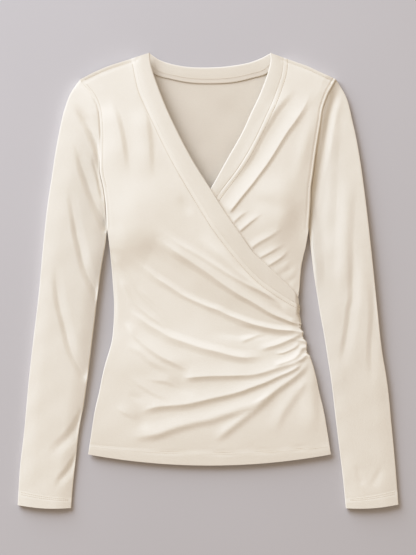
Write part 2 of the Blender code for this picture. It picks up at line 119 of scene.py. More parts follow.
deselect_all()
bpy.ops.object.light_add(type="AREA", location=WINDOW_PLACE)
window = bpy.context.object
window.name = "window"
window.data.shape = "RECTANGLE"
window.data.size, window.data.size_y = WINDOW_SIZE
window.data.energy = WINDOW_POWER
window.data.color = DAYLIGHT
window.rotation_euler = (-WINDOW_PLACE).to_track_quat("-Z", "Y").to_euler()

walls = bpy.data.worlds.new("pale_walls")
bpy.context.scene.world = walls
walls.use_nodes = True
walls.node_tree.nodes["Background"].inputs["Color"].default_value = linear("#ffebd4")
walls.node_tree.nodes["Background"].inputs["Strength"].default_value = 0.5

# The film keeps a little in hand at the bright end.
look = bpy.context.scene.view_settings
look.view_transform = "Standard"
look.use_curve_mapping = True
curve = look.curve_mapping.curves[3]
for point in FILM[:-1]:
    curve.points.new(*point)
curve.points[-1].location = FILM[-1]
look.curve_mapping.update()


# ---------------------------------------------------------------------------------------------
# The cloth: fine single jersey of cotton and viscose, knitted in the round, cream and undyed.
# Its face shows columns of small V stitches, and its reverse is duller, and painted a little darker for
# the shade that falls inside the neck.
# The neckbands are the same cloth, doubled. The back one is painted darker, for the shade that falls
# inside the neck.
# ---------------------------------------------------------------------------------------------
# Wales, courses and uneven yarn are drawn coarser than such jersey's, so that they show.
WALE = 1.1 * MM  # between two columns of stitches
COURSE = 0.9 * MM  # between two rows of them
LEAN = 1.3  # how many courses a stitch's leg would climb across a whole column
ROW_RELIEF = 0.4  # how strongly the rows show beside the columns
YARN_RELIEF = 2.4  # and how strongly thick and thin yarn shows
YARN_SHADE = 4 * MM  # how long a stretch of it is
YARN_NARROWING = 2.2  # how many times narrower than long
KNIT_DEPTH = 0.06 * MM
HANDLING_SCALE = 22.0  # soft marks of handling to a metre
HANDLING_SHARE, YARN_SHARE = 0.6, 0.4  # in the cloth's changes of tone


def jersey(name, colour, shade):
    """Knitted cloth. The stitches follow the piece's own UV map, which is in metres of cloth."""
    material, tree, shader = new_material(name)
    place = add_node(tree, "ShaderNodeTexCoord")
    cut = add_node(tree, "ShaderNodeSeparateXYZ", Vector=place.outputs["UV"])
    # Uneven yarn lies along the rows.
    stretch = (1 / YARN_SHADE, YARN_NARROWING / YARN_SHADE, 1)
    streaks = add_node(tree, "ShaderNodeMapping", Vector=place.outputs["UV"], Scale=stretch)
    yarn = add_node(tree, "ShaderNodeTexNoise", Vector=streaks.outputs[0], Scale=1.0, Detail=3.0)
    handling = add_node(
        tree, "ShaderNodeTexNoise", Vector=place.outputs["Object"], Scale=HANDLING_SCALE, Detail=3.0
    )
    value = {
        "x": cut.outputs["X"],
        "y": cut.outputs["Y"],
        "yarn": yarn.outputs["Fac"],
        "handling": handling.outputs["Fac"],
    }
    # Each stitch is a V: two legs that lean towards the middle of its column.
    for result, operation, *given in [
        ("columns", "DIVIDE", "x", WALE),
        ("into column", "FRACT", "columns"),
        ("from middle", "SUBTRACT", "into column", 0.5),
        ("leg", "ABSOLUTE", "from middle"),
        ("rows", "DIVIDE", "y", COURSE),
        ("lean", "MULTIPLY", "leg", LEAN),
        ("leaning rows", "ADD", "rows", "lean"),
        ("row turn", "MULTIPLY", "leaning rows", 2 * np.pi),
        ("row", "SINE", "row turn"),
        ("column turn", "MULTIPLY", "leg", 2 * np.pi),
        ("column", "COSINE", "column turn"),
        ("faint row", "MULTIPLY", "row", ROW_RELIEF),
        ("knit", "ADD", "faint row", "column"),
        ("thick yarn", "MULTIPLY", "yarn", YARN_RELIEF),
        ("relief", "ADD", "knit", "thick yarn"),
        ("handled", "MULTIPLY", "handling", HANDLING_SHARE),
        ("uneven", "MULTIPLY", "yarn", YARN_SHARE),
        ("mottle", "ADD", "handled", "uneven"),
    ]:
        inputs = {f"_{k}": value.get(item, item) for k, item in enumerate(given)}
        step = add_node(tree, "ShaderNodeMath", {"operation": operation}, **inputs)
        value[result] = step.outputs[0]
    bump = add_node(
        tree, "ShaderNodeBump", Height=value["relief"], Strength=1.0, Distance=KNIT_DEPTH
    )
    tree.links.new(bump.outputs["Normal"], shader.inputs["Normal"])
    tone = add_node(
        tree,
        "ShaderNodeMix",
        {"data_type": "RGBA"},
        _0=value["mottle"],
        _6=linear(colour),
        _7=linear(shade),
    )
    tree.links.new(tone.outputs[2], shader.inputs["Base Color"])
    shader.inputs["Roughness"].default_value = 0.88
    shader.inputs["Specular IOR Level"].default_value = 0.25
    shader.inputs["Sheen Weight"].default_value = 0.1
    shader.inputs["Sheen Roughness"].default_value = 0.5
    shader.inputs["Sheen Tint"].default_value = linear("#fff6ea")
    return material


face_jersey = jersey("cream_jersey_face", "#f7eedf", "#ece3d2")
# partly painted shade: a duller, darker copy of the face, for the back's reverse where it shows inside
# the neck
reverse_with_painted_shade = jersey("reverse_cream_jersey_painted_shade", "#e6dccc", "#dacfbd")
band_jersey = jersey("cream_jersey_doubled", "#f0e7d7", "#e7ddcc")
# painted shade: a darker copy of the doubled cloth, for the back band inside the neck
band_with_painted_shade = jersey("doubled_cream_jersey_painted_shade", "#eae0d0", "#e0d5c3")


# ---------------------------------------------------------------------------------------------
# The back: one panel of jersey, laid flat with its reverse upwards, cut out at the neck and
# armholes. Its edges are sewn to the other pieces, a little inside the fold of each seam.
# ---------------------------------------------------------------------------------------------
CLOTH = 1.1  # one layer of jersey, in millimetres, as everything that follows
BACK_TOP = 1.5  # the back's upper side over the board
BACK_INSET = 1.3  # how far its edges stay inside the folds at the sides
BACK_WAVES = (85, 0.32)  # its slow waves: about how long, and how deep
BACK_COLUMNS = 120
BACK_ROWS = (16, 50, 80)  # cells along a shoulder, an armhole and a side
CRISP = 50  # degrees past which an edge isn't shaded smooth

# Armhole seams, from the shoulder tip to the underarm: y, then x at the wearer's right and left.
ARMHOLE = [
    (302, -192, 192),
    (292, -184, 186),
    (281, -175, 180),
    (267, -168, 174.5),
    (257, -165, 171.5),
    (240, -163, 169),
    (225, -162, 166.5),
    (190, -162, 161),
    (159, -161, 157),
    (142, -157, 154.5),
    (118, -153.5, 153.5),
    (80, -151.5, 151),
]

# Side seams, from the underarm to the hem, in the same columns. Gathers draw in the left one.
SIDE = [
    (80, -151.5, 151),
    (55, -148, 147),
    (26, -145, 140.5),
    (-6, -142.5, 137.5),
    (-28, -141, 136),
    (-40, -140.8, 137.8),
    (-48, -140.8, 136.9),
    (-58, -141.2, 138.9),
    (-64, -141.5, 139.6),
    (-69, -142, 138.4),
    (-77, -142.6, 142.8),
    (-83, -143.2, 142.0),
    (-91, -144.5, 147.4),
    (-99, -146.5, 147.9),
    (-104, -148, 147.4),
    (-112, -150.5, 152.6),
    (-120, -153, 155.6),
    (-142, -158.5, 161.6),
    (-165, -163, 166.5),
    (-190, -169, 172.5),
    (-232, -175.6, 179.8),
    (-259, -179.7, 184),
]

# Shoulder folds, from the neckband to the shoulder tip, in the same columns.
SHOULDER = [
    (334.5, -109, 112.5),
    (329, -127, 128),
    (322, -148.6, 148),
    (311.8, -172.6, 170),
    (302, -192, 192),
]

# Back neckband, from the wearer's right shoulder to the left: the free edge's x and y, then the
# sewn edge's x and y.
BAND_BACK = [
    (-87, 341, -105, 334),
    (-84, 339, -93, 322),
    (-75, 333, -80.5, 310),
    (-58, 326.5, -55, 302.4),
    (-36, 322, -26, 297),
    (2, 320.4, 5.5, 295.8),
    (40, 323.5, 40, 298),
    (66, 329, 66, 304),
    (83, 336, 88, 311),
    (88.5, 339, 99, 322),
    (92.5, 341, 109, 334),
]

HEM_DROP = 16.7  # how far the hem's middle hangs below its two corners
HEM_STEP = 2.5  # how far a lower layer's hem stays behind the one over it
BAND_LAP = 2.5  # how far a panel runs on under the band that is sewn over its edge
FREE, SEWN = 0, 2  # where the x and y of a band's two edges stand in a row of its table
FINE_STEPS = 24  # steps of a smooth curve from one of its given points to the next


def evenly(steps):
    return np.linspace(0, 1, steps + 1)


def smooth_step(value):
    value = np.clip(value, 0, 1)
    return value * value * (3 - 2 * value)


def passed_at(steps):
    """The length passed at each point of a line, from the lengths of its steps."""
    return np.concatenate([[0.0], np.cumsum(steps)])


def smooth_line(points, shares):
    """Points on a smooth curve through the given ones, each at a share of the curve's length."""
    knots = np.array(points, float)
    chord = passed_at(np.hypot(*np.diff(knots, axis=0).T))
    slope = np.gradient(knots, chord, axis=0)
    fine = np.linspace(0, chord[-1], FINE_STEPS * len(knots))
    k = np.clip(np.searchsorted(chord, fine, side="right") - 1, 0, len(knots) - 2)
    span = (chord[k + 1] - chord[k])[:, None]
    t = (fine[:, None] - chord[k][:, None]) / span
    start = (1 + 2 * t) * (1 - t) ** 2 * knots[k] + t * (1 - t) ** 2 * span * slope[k]
    end = t**2 * (3 - 2 * t) * knots[k + 1] + t**2 * (t - 1) * span * slope[k + 1]
    curve = start + end
    length = passed_at(np.hypot(*np.diff(curve, axis=0).T))
    wanted = np.asarray(shares) * length[-1]
    return np.stack([np.interp(wanted, length, curve[:, k]) for k in (0, 1)], 1)


def side_line(rows, side, shares):
    """The curve of one side of a table with a y, a right x and a left x in each row."""
    return smooth_line([(row[side], row[0]) for row in rows], shares)


def edge_line(rows, edge, shares):
    """The curve of one of the two edges whose x and y stand in each row of a table."""
    return smooth_line([row[edge : edge + 2] for row in rows], shares)


def over_middle(x):
    """How near the hem's middle a point lies: 1 there, 0 at its corners."""
    middle = (SIDE[-1][1] + SIDE[-1][2]) / 2
    half = (SIDE[-1][2] - SIDE[-1][1]) / 2
    return 1 - ((x - middle) / half) ** 2


def hem_line(start_x, end_x, shares, raised=0.0):
    """The hem, from one corner to the other: a shallow bow below its corners."""
    x = start_x + (end_x - start_x) * np.asarray(shares)
    return np.stack([x, SIDE[-1][0] - HEM_DROP * over_middle(x) + raised], 1)


def patch(near, far, top, bottom):
    """A grid of points between four curves: rows run from near to far, columns from top to bottom."""
    down = np.linspace(0, 1, len(near))[:, None, None]
    along = np.hypot(*np.diff(top, axis=0).T)
    across = (passed_at(along) / along.sum())[None, :, None]
    from_sides = (1 - across) * near[:, None] + across * far[:, None]
    from_ends = (1 - down) * top[None] + down * bottom[None]
    corners = (1 - across) * (1 - down) * near[0] + across * (1 - down) * far[0]
    corners = corners + (1 - across) * down * near[-1] + across * down * far[-1]
    return from_sides + from_ends - corners


def wander(x, y, size, depth):
    """Slow, uneven rises and falls, as in cloth smoothed by hand, about one in each size."""
    k = 2 * np.pi / size
    first = np.sin(k * x + 1.3 * np.sin(0.6 * k * y + 0.7)) * np.cos(0.83 * k * y + 0.4)
    second = np.sin(1.37 * k * y + 2.1 * np.cos(0.45 * k * x)) * np.cos(0.61 * k * x + 1.9)
    return depth * (first + second) / 2


def grid_mesh(name, points, uv):
    """A sheet through rows of points, all in millimetres, made from Blender's own grid."""
    rows, columns = points.shape[:2]
    deselect_all()
    bpy.ops.mesh.primitive_grid_add(x_subdivisions=columns - 1, y_subdivisions=rows - 1, size=2)
    piece = bpy.context.object
    piece.name = piece.data.name = name
    mesh = piece.data
    flat = np.empty(len(mesh.vertices) * 3)
    mesh.vertices.foreach_get("co", flat)
    flat = flat.reshape(-1, 3)
    column = np.rint((flat[:, 0] + 1) / 2 * (columns - 1)).astype(int)
    row = np.rint((flat[:, 1] + 1) / 2 * (rows - 1)).astype(int)
    mesh.vertices.foreach_set("co", (points[row, column] * MM).ravel())
    corner = np.empty(len(mesh.loops), int)
    mesh.loops.foreach_get("vertex_index", corner)
    mesh.uv_layers.active.data.foreach_set("uv", (uv[row, column][corner] * MM).ravel())
    mesh.update()
    return piece


def edit_all(piece, operator, **options):
    """Runs one of Blender's mesh operators on the whole of a piece."""
    deselect_all()
    piece.select_set(True)
    bpy.context.view_layer.objects.active = piece
    bpy.ops.object.mode_set(mode="EDIT")
    bpy.ops.mesh.select_all(action="SELECT")
    operator(**options)
    bpy.ops.object.mode_set(mode="OBJECT")


def surface_area(points):
    """The area of a sheet through rows of points in millimetres, in square metres."""
    one = points[1:, 1:] - points[:-1, :-1]
    other = points[1:, :-1] - points[:-1, 1:]
    return float(np.linalg.norm(np.cross(one, other), axis=2).sum() / 2 * MM * MM)


def give_wall(piece, thickness, material):
    """Gives a sheet its cloth's thickness on the inside, its material and shading with crisp edges."""
    piece.data.materials.append(material)
    piece.data.shade_smooth()
    wall = piece.modifiers.new("wall", "SOLIDIFY")
    wall.thickness = thickness * MM
    wall.offset = -1
    wall.use_even_offset = False
    deselect_all()
    piece.select_set(True)
    bpy.context.view_layer.objects.active = piece
    bpy.ops.object.modifier_apply(modifier="wall")
    bpy.ops.object.shade_smooth_by_angle(angle=np.radians(CRISP))


def laid_piece(name, grid, top, thickness, material, uv):
    """A panel or band on a grid of x and y, its upper side at the given heights."""
    points = np.dstack([grid, top])
    piece = grid_mesh(name, points, uv)
    normals = np.empty(len(piece.data.polygons) * 3)
    piece.data.polygons.foreach_get("normal", normals)
    if normals[2::3].sum() < 0:
        edit_all(piece, bpy.ops.mesh.flip_normals)
    give_wall(piece, thickness, material)
    return piece, surface_area(points)


shares = evenly(BACK_COLUMNS)
neck = edge_line(BAND_BACK, SEWN, shares)
neck[:, 1] += BAND_LAP
hem = hem_line(SIDE[-1][1] + BACK_INSET, SIDE[-1][2] - BACK_INSET, shares, 2 * HEM_STEP)
edges = []
for side, inwards in ((1, 1), (2, -1)):
    shoulder = side_line(SHOULDER, side, evenly(BACK_ROWS[0])) - (0, BACK_INSET)
    armhole = side_line(ARMHOLE, side, evenly(BACK_ROWS[1])) + (inwards * BACK_INSET, 0)
    flank = side_line(SIDE, side, evenly(BACK_ROWS[2])) + (inwards * BACK_INSET, 0)
    edges.append(np.concatenate([shoulder, armhole[1:], flank[1:]]))
for edge, column in zip(edges, (0, -1)):
    edge[0], edge[-1] = neck[column], hem[column]
back_grid = patch(*edges, neck, hem)
back_top = BACK_TOP + wander(back_grid[..., 0], back_grid[..., 1], *BACK_WAVES)
# The back takes the reverse cloth, with its painted shade.
back, area = laid_piece("back", back_grid, back_top, CLOTH, reverse_with_painted_shade, back_grid)
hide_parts("back_panel")
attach(back, "root")


# ---------------------------------------------------------------------------------------------
# The under front: the wearer's left front, of jersey, cut on the straight. It passes below the
# other front to the right side seam, and that front's band pulls small tucks in it. One long crease
# runs from where the bands cross to the armhole. Stitches hold the turnings of its seams.
# ---------------------------------------------------------------------------------------------
LEFT, RIGHT = 1, -1  # the two sides of a line, seen along its direction
STITCH = 2.6  # one stitch
STITCH_STEP = 3.0  # from one to the next: longer than real ones, so that they show
THREAD = 0.9  # its thickness
BAND_ROW = 5.5  # how far a row of stitches lies from a band's seam
ARMHOLE_ROW = 4.6  # and from an armhole's
UNDER_BAND_SEEN = slice(0, 215)  # which of 400 steps along its band's seam get stitches
ARMHOLE_SEEN = slice(6, 150)  # which of 200 steps along an armhole do
SHOULDER_SEEN = slice(3, -4)  # and which of 60 along a shoulder

UNDER_HEIGHT = 14.2  # the under front at the shoulder
TUCKED_HEIGHT = 14.8  # where the other front crosses it
TUCKED_RUN = 34.0  # how far from there the change to its own height takes
UNDER_FALL = (4.4, 95, -15)  # how far it falls in towards the waist, from one y to another
HIDDEN_HEIGHT = 4.8  # well below the other front
HIDDEN_PAST = (50.0, 36.0)  # how far under the other front it rises from that, and over how far
HIDDEN_INSET = 3.0  # how far a covered edge stays inside the one over it
HIDDEN_FROM = (-15.0, 20.0)  # the y below which an edge is covered, and how far that takes
RIM = 0.6  # the edge of a piece where it is folded down to the board
KNEE = 11.0  # how high the fold at the wearer's right side rises
FOLD_RUN = 0.5  # how far in from a folded edge the cloth rises from the board
SECOND_LAYER = 4.2  # the hem of a layer that lies on the back
SHOULDER_KNEE = 12.2  # the shoulder fold's height
SHOULDER_SLOPE = 0.025  # how much more each millimetre in from it may add
ARMHOLE_RUN = 50.0  # how far in from the armhole the cloth takes to rise
SIDE_RUN = 26.0  # the same from the wearer's right side
HEM_RUN = 60.0  # the same from the hem
HEM_KNEE_RUN = 12.0  # and for the folds at the two sides
SIDE_ROUNDNESS = 1.4  # how round the slopes at both sides are: 1 would be a straight slope
SHOULDER_SEAM = 5.0  # how far in from the fold the shoulder seam lies
SEAM_ROLL = 1.4  # how far in from the armhole the fronts turn down to the sleeves
SEAM_DIP = 0.5  # and how much further than the sleeve they go
BAND_STEP = (2.3, 0.1, 1.6)  # how far a front drops below its band, from where, and over how far

# Grooves that seams and rows of stitches draw in the cloth: depth and half width.
SHOULDER_GROOVE = (0.6, 1.4)
ARMHOLE_GROOVE = (0.3, 1.4)
UNDER_ROW_GROOVE = (0.5, 1.3)
BAND_ROW_GROOVE = (0.3, 1.3)

# How far in from seams and edges the folds take to reach their full height.
FREE_OF_ARMHOLE = 6.0
FREE_OF_SIDE = 5.0
FREE_OF_SHOULDER = 9.0
TUCK_RUN = 4.0  # the same for the tucks, from the other front's edge
UNDER_WAVES = (74, 0.22)  # its slow waves: about how long, and how deep

BUST_LEFT = (100, 108, 3.2)  # fullness: x, y, height
BUST_RUN = 48.0
BUST_FADE = 50.0  # how far from the other front's edge it takes to come

# Height of the fronts over the board by the armhole seams, and how far the sleeve lies below
# that: y, both at the wearer's right, then both at the left.
ARMHOLE_SEAM = [
    (80, 11.2, 2.0, 8.0, 4.4),
    (115, 11.4, 2.0, 9.2, 5.6),
    (150, 11.4, 1.4, 10.8, 6.2),
    (190, 11.2, -0.2, 12.0, 4.2),
    (225, 11.0, -1.2, 12.6, 2.2),
    (250, 10.8, -1.4, 12.6, 1.2),
    (285, 9.8, -0.8, 12.0, 0.8),
    (302, 8.6, 0.0, 10.6, 0.4),
]

# The left side slopes down to its fold: y, the fold's height and how far in the slope begins.
LEFT_SIDE = [
    (302, 8.5, 20),
    (110, 9.4, 44),
    (60, 8.2, 50),
    (0, 7.2, 46),
    (-40, 8.0, 34),
    (-110, 8.4, 18),
    (-160, 8.0, 16),
    (-259, 7.4, 14),
]

# Neckband of the over front, from the shoulder to the wearer's left side seam: the free edge's x
# and y, then the sewn edge's x and y.
BAND_OVER = [
    (-87, 341, -109, 334),
    (-86, 327, -107, 320),
    (-82, 311, -104, 305),
    (-75, 291, -99, 285),
    (-67, 270, -89, 262),
    (-58, 249, -79, 241),
    (-49, 230, -70, 222),
    (-24, 182, -45, 173),
    (3.5, 138, -16, 124),
    (31, 95, 11.5, 80),
    (50, 68, 32, 53),
    (67, 44, 51, 30),
    (92, 20, 76, 4),
    (119, -5, 105, -17.5),
    (131, -18, 122, -28),
    (135.2, -25.5, 136, -36),
]

# Neckband of the under front, from the shoulder to the wearer's right side seam, in the same columns.
BAND_UNDER = [
    (92.5, 341, 113, 334),
    (93.5, 331, 113, 327),
    (90.5, 316, 111, 310),
    (84.6, 297.6, 105.5, 292),
    (75.5, 275, 96.5, 268),
    (65, 253, 86, 245),
    (53.6, 227.6, 73.5, 218),
    (28.4, 182, 46, 170),
    (3.5, 138, 17, 131),
    (-44, 70, -27, 58),
    (-90, 20, -75, 5),
    (-137, -22, -138, -37),
]

# Rows of the under front: the y where a row leaves the front's own armhole or side, the y where
# it ends on the neckband or the far side seam, and how many cells reach the next row.
UNDER_ROWS = [
    (302, 334, 2),
    (301.2, 333.2, 3),
    (298, 330, 44),
    (210, 225, 38),
    (130, 120, 38),
    (80, 55, 28),
    (40, -37, 20),
    (-80, -110, 16),
    (-259, -259, 0),
]
UNDER_COLUMNS = 120
FRONT_WIDTH = 300.0  # about, at the chest
EDGE_CROWD = 6.5  # how far in from both edges of a piece its columns crowd
CROWDED = [0, 0.05, 0.14, 0.27, 0.46, 0.7, 1]  # where they lie on that stretch
JOIN_GAP = 0.5  # how far below the band's end a front's far edge goes on along the side seam

# Folds of the under front. Each is a ridge that falls off steeply to the right of its direction
# and gently to the left: its height, how far it reaches to the right at its two ends and to the
# left at its two ends, how sharp it is, the shares of its line over which it rises and dies away,
# and the line's points, x and y. A negative height makes a valley with the same two sides.
UNDER_FOLDS = [
    # the long crease, and the soft one between it and the band
    (2, 3.5, 10, 19, 20, 0.8, 0.04, 0.25, [(31, 101), (39.5, 112), (48, 123), (56.5, 133.5),
        (67, 146.5), (77, 160), (87, 173.5), (95, 185.5), (103, 198.5), (111.5, 212.5), (120, 225.5),
        (129, 237.5), (138, 251), (145, 263), (151, 276), (156, 288)]),
    (1.6, 8, 10, 16.2, 18, 0.2, 0.4, 0.2, [(18, 124), (26, 137), (35, 150), (45, 163), (56, 178),
        (64, 191), (73, 209), (81, 224), (90, 239), (99, 254), (110, 268), (121, 280), (132, 290)]),
    # tucks drawn under the other front's band
    (0.9, 3.5, 4, 9, 10.8, 0.8, 0.05, 0.6, [(36, 86), (47, 96.5), (56, 103), (63, 108)]),
    (1.3, 3.5, 4, 11, 12, 0.8, 0.05, 0.6, [(45, 73), (57, 83), (68, 92), (75, 97), (84, 103)]),
    (1.2, 5, 6, 12, 13, 0.8, 0.05, 0.6, [(62, 48), (77, 58.6), (92, 67), (105, 75.7), (116, 82)]),
    (1.1, 4, 4, 11, 12, 0.8, 0.05, 0.6, [(76, 34.5), (90, 42), (106, 51), (116, 57)]),
    (1.1, 4, 5, 11, 12, 0.8, 0.05, 0.6, [(88, 22), (100.5, 29.6), (111, 37), (117.6, 44.6), (123, 52)]),
    (1.3, 3.5, 4, 6.4, 8, 0.8, 0.05, 0.6, [(101, 13.5), (113.4, 21), (120, 25.4), (127, 31)]),
    (1.5, 3.5, 5, 6.4, 8, 0.8, 0.05, 0.6, [(110, 0.5), (122, 7), (130.5, 13.6), (136, 20)]),
    (1.1, 3.5, 4, 6.4, 8, 0.7, 0.05, 0.6, [(121, -9), (129, -4), (135, 2), (139, 8)]),
]

# Its soft ridges and troughs: height, half width, and the line's points.
UNDER_SWELLS = [
    (1.2, 10, [(127, 142), (138, 176), (146, 208), (155, 236), (163, 262)]),
    (-0.8, 14, [(140, 60), (134, 100), (130, 128), (136, 150)]),
    (0.8, 16, [(62, 128), (84, 132), (104, 128), (122, 112)]),
    (-0.6, 10, [(58, 112), (80, 118), (100, 112), (118, 98)]),
]
SWELL_FADE = 1.3  # how gently they come and go: 1 would be a half wave


def distance(x, y, line):
    """Each point's distance to a line, positive to its left, and the share of the line passed."""
    start = line[:-1]
    step = line[1:] - start
    from_x = x.reshape(-1, 1) - start[:, 0]
    from_y = y.reshape(-1, 1) - start[:, 1]
    along = (from_x * step[:, 0] + from_y * step[:, 1]) / (step**2).sum(1)
    along = np.clip(along, 0, 1)
    away = np.hypot(from_x - along * step[:, 0], from_y - along * step[:, 1])
    nearest = away.argmin(1)
    row = np.arange(len(nearest))
    turn = step[nearest, 0] * from_y[row, nearest] - step[nearest, 1] * from_x[row, nearest]
    passed = (nearest + along[row, nearest]) / len(start)
    signed = away[row, nearest] * np.where(turn < 0, -1, 1)
    return signed.reshape(x.shape), passed.reshape(x.shape)


def rise(away, run):
    """How far the cloth has risen this far in from an edge: 0 at the edge, 1 past the run."""
    return np.sin(np.clip(away / run, 0, 1) * np.pi / 2)


def rounded(away, run):
    """The same for a fold, which starts straight up."""
    return np.sqrt(1 - (1 - np.clip(away / run, 0, 1)) ** 2)


def interpolate(rows, column, at):
    """A value read from one column of a table whose first column is y."""
    ordered = sorted(rows)
    return np.interp(at, [row[0] for row in ordered], [row[column] for row in ordered])


def fold_relief(x, y, rows):
    """What folds add to the cloth's height."""
    total = np.zeros_like(x)
    for height, right_start, right_end, left_start, left_end, sharp, tail, head, points in rows:
        line = smooth_line(points, evenly(40))
        reach = max(right_start, right_end, left_start, left_end)
        low, high = line.min(0) - reach, line.max(0) + reach
        near = (x > low[0]) & (x < high[0]) & (y > low[1]) & (y < high[1])
        if not near.any():
            continue
        away, passed = distance(x[near], y[near], line)
        steep = np.clip(-away / (right_start + (right_end - right_start) * passed), 0, 1)
        gentle = np.clip(away / (left_start + (left_end - left_start) * passed), 0, 1)
        flank = np.where(away < 0, steep, gentle)
        section = (1 + np.cos(np.pi * flank)) / 2
        section += sharp * ((1 - flank) ** 2 - section)
        total[near] += height * section * smooth_step(passed / tail) * smooth_step((1 - passed) / head)
    return total


def swell_relief(x, y, rows):
    """What soft ridges and troughs add. They rise and fade over the two ends of their lines."""
    total = np.zeros_like(x)
    for height, width, points in rows:
        away, passed = distance(x, y, smooth_line(points, evenly(24)))
        total += height * np.exp(-((away / width) ** 2)) * np.sin(np.pi * passed) ** SWELL_FADE
    return total


def from_edges(x, y, rows):
    """Distance to the nearer of the two curves that a table holds, one for each side."""
    curves = [side_line(rows, side, evenly(80)) for side in (1, 2)]
    return np.min([np.abs(distance(x, y, curve)[0]) for curve in curves], axis=0)


def by_side(x, pair):
    """The first of two values at the wearer's right, the second at the left."""
    return np.where(x < 0, pair[0], pair[1])


def armhole_height(x, y):
    """Height of a front by its armhole seam, and the sleeve's drop below it."""
    right = [interpolate(ARMHOLE_SEAM, column, y) for column in (1, 2)]
    left = [interpolate(ARMHOLE_SEAM, column, y) for column in (3, 4)]
    return by_side(x, (right[0], left[0])), by_side(x, (right[1], left[1]))


def front_crown(x, y, height, hem_height):
    """Height of a front over the board before its folds. Its sides are folded down to the board."""
    to_hem = np.abs(distance(x, y, hem_line(SIDE[-1][1], SIDE[-1][2], evenly(40)))[0])
    to_armhole = from_edges(x, y, ARMHOLE)
    to_shoulder, to_side = from_edges(x, y, SHOULDER), from_edges(x, y, SIDE)
    seam, drop = armhole_height(x, y)
    inside = seam + (height - seam) * rise(to_armhole, ARMHOLE_RUN)
    inside = hem_height + (inside - hem_height) * rise(to_hem, HEM_RUN)
    knee = by_side(x, (KNEE, interpolate(LEFT_SIDE, 1, y)))
    knee = hem_height + (knee - hem_height) * rise(to_hem, HEM_KNEE_RUN)
    run = by_side(x, (SIDE_RUN, interpolate(LEFT_SIDE, 2, y)))
    slope = 1 - (1 - np.clip(to_side / run, 0, 1)) ** SIDE_ROUNDNESS
    top = np.minimum(knee, inside) + np.maximum(inside - knee, 0) * slope
    top = np.minimum(top, SHOULDER_KNEE + SHOULDER_SLOPE * to_shoulder)
    top -= (drop + SEAM_DIP) * (1 - rounded(to_armhole, SEAM_ROLL))
    fold = rounded(np.minimum(to_shoulder, to_side), FOLD_RUN)
    top += seam_groove(to_shoulder - SHOULDER_SEAM, *SHOULDER_GROOVE)
    return RIM + (top - RIM) * fold, to_hem, to_armhole


def fullness(x, y, centre):
    """The fullness of a front over the bust."""
    centre_x, centre_y, height = centre
    return height * np.exp(-((x - centre_x) ** 2 + (y - centre_y) ** 2) / BUST_RUN**2)


def past_over_band(x, y):
    """Distance past the over front's free edge: positive where the under front shows."""
    return distance(x, y, edge_line(BAND_OVER, FREE, evenly(60)))[0]


def seam_groove(away, depth, width):
    """The groove that a seam or a row of stitches draws in the cloth."""
    return -depth * np.exp(-((away / width) ** 2))


def under_base(x, y):
    """Upper side of the under front, without its creases. It sinks where the other front covers it."""
    past = past_over_band(x, y)
    height = TUCKED_HEIGHT + (UNDER_HEIGHT - TUCKED_HEIGHT) * smooth_step(past / TUCKED_RUN)
    height -= UNDER_FALL[0] * smooth_step((UNDER_FALL[1] - y) / (UNDER_FALL[1] - UNDER_FALL[2]))
    seen = front_crown(x, y, height, SECOND_LAYER)[0]
    seen += fullness(x, y, BUST_LEFT) * smooth_step(past / BUST_FADE)
    hidden = np.clip(seen, SECOND_LAYER, HIDDEN_HEIGHT)
    showing = smooth_step((past + HIDDEN_PAST[0]) / HIDDEN_PAST[1])
    return hidden + (seen - hidden) * showing


def under_top(x, y):
    """Upper side of the under front. Its tucks start at the other front's edge."""
    showing = smooth_step(past_over_band(x, y) / TUCK_RUN)
    to_armhole = from_edges(x, y, ARMHOLE)
    relief = fold_relief(x, y, UNDER_FOLDS) + swell_relief(x, y, UNDER_SWELLS)
    relief += wander(x, y, *UNDER_WAVES)
    held = rise(to_armhole, FREE_OF_ARMHOLE) * rise(from_edges(x, y, SIDE), FREE_OF_SIDE)
    held = held * rise(from_edges(x, y, SHOULDER), FREE_OF_SHOULDER)
    grooves = seam_groove(to_armhole, *ARMHOLE_GROOVE)
    grooves += seam_groove(to_armhole - ARMHOLE_ROW, *UNDER_ROW_GROOVE)
    return under_base(x, y) + relief * showing * held + grooves * showing


def row_levels(rows):
    """Where each row of a front starts and ends: two lists of y."""
    own_y, far_y = [rows[0][0]], [rows[0][1]]
    for (own_start, far_start, count), (own_end, far_end, _) in zip(rows, rows[1:]):
        own_y.extend(own_start + (own_end - own_start) * evenly(count)[1:])
        far_y.extend(far_start + (far_end - far_start) * evenly(count)[1:])
    return np.array(own_y, float), np.array(far_y, float)


def at_heights(line, levels):
    """The points where a line that runs down the garment crosses the given levels of y."""
    return np.stack([np.interp(-levels, -line[:, 1], line[:, 0]), levels], 1)


def crowded(steps, edge):
    """Shares from 0 to 1, even but for some finer steps within an edge's width of both ends."""
    fine = edge * np.array(CROWDED, float)
    middle = edge + (1 - 2 * edge) * evenly(steps - 2 * len(CROWDED) + 2)[1:-1]
    return np.concatenate([fine, middle, 1 - fine[::-1]])


def lapped(band, shares):
    """A band's sewn edge, moved under the band as far as the panel runs on there."""
    sewn = edge_line(band, SEWN, shares)
    width = edge_line(band, FREE, shares) - sewn
    return sewn + width / np.hypot(*width.T)[:, None] * BAND_LAP


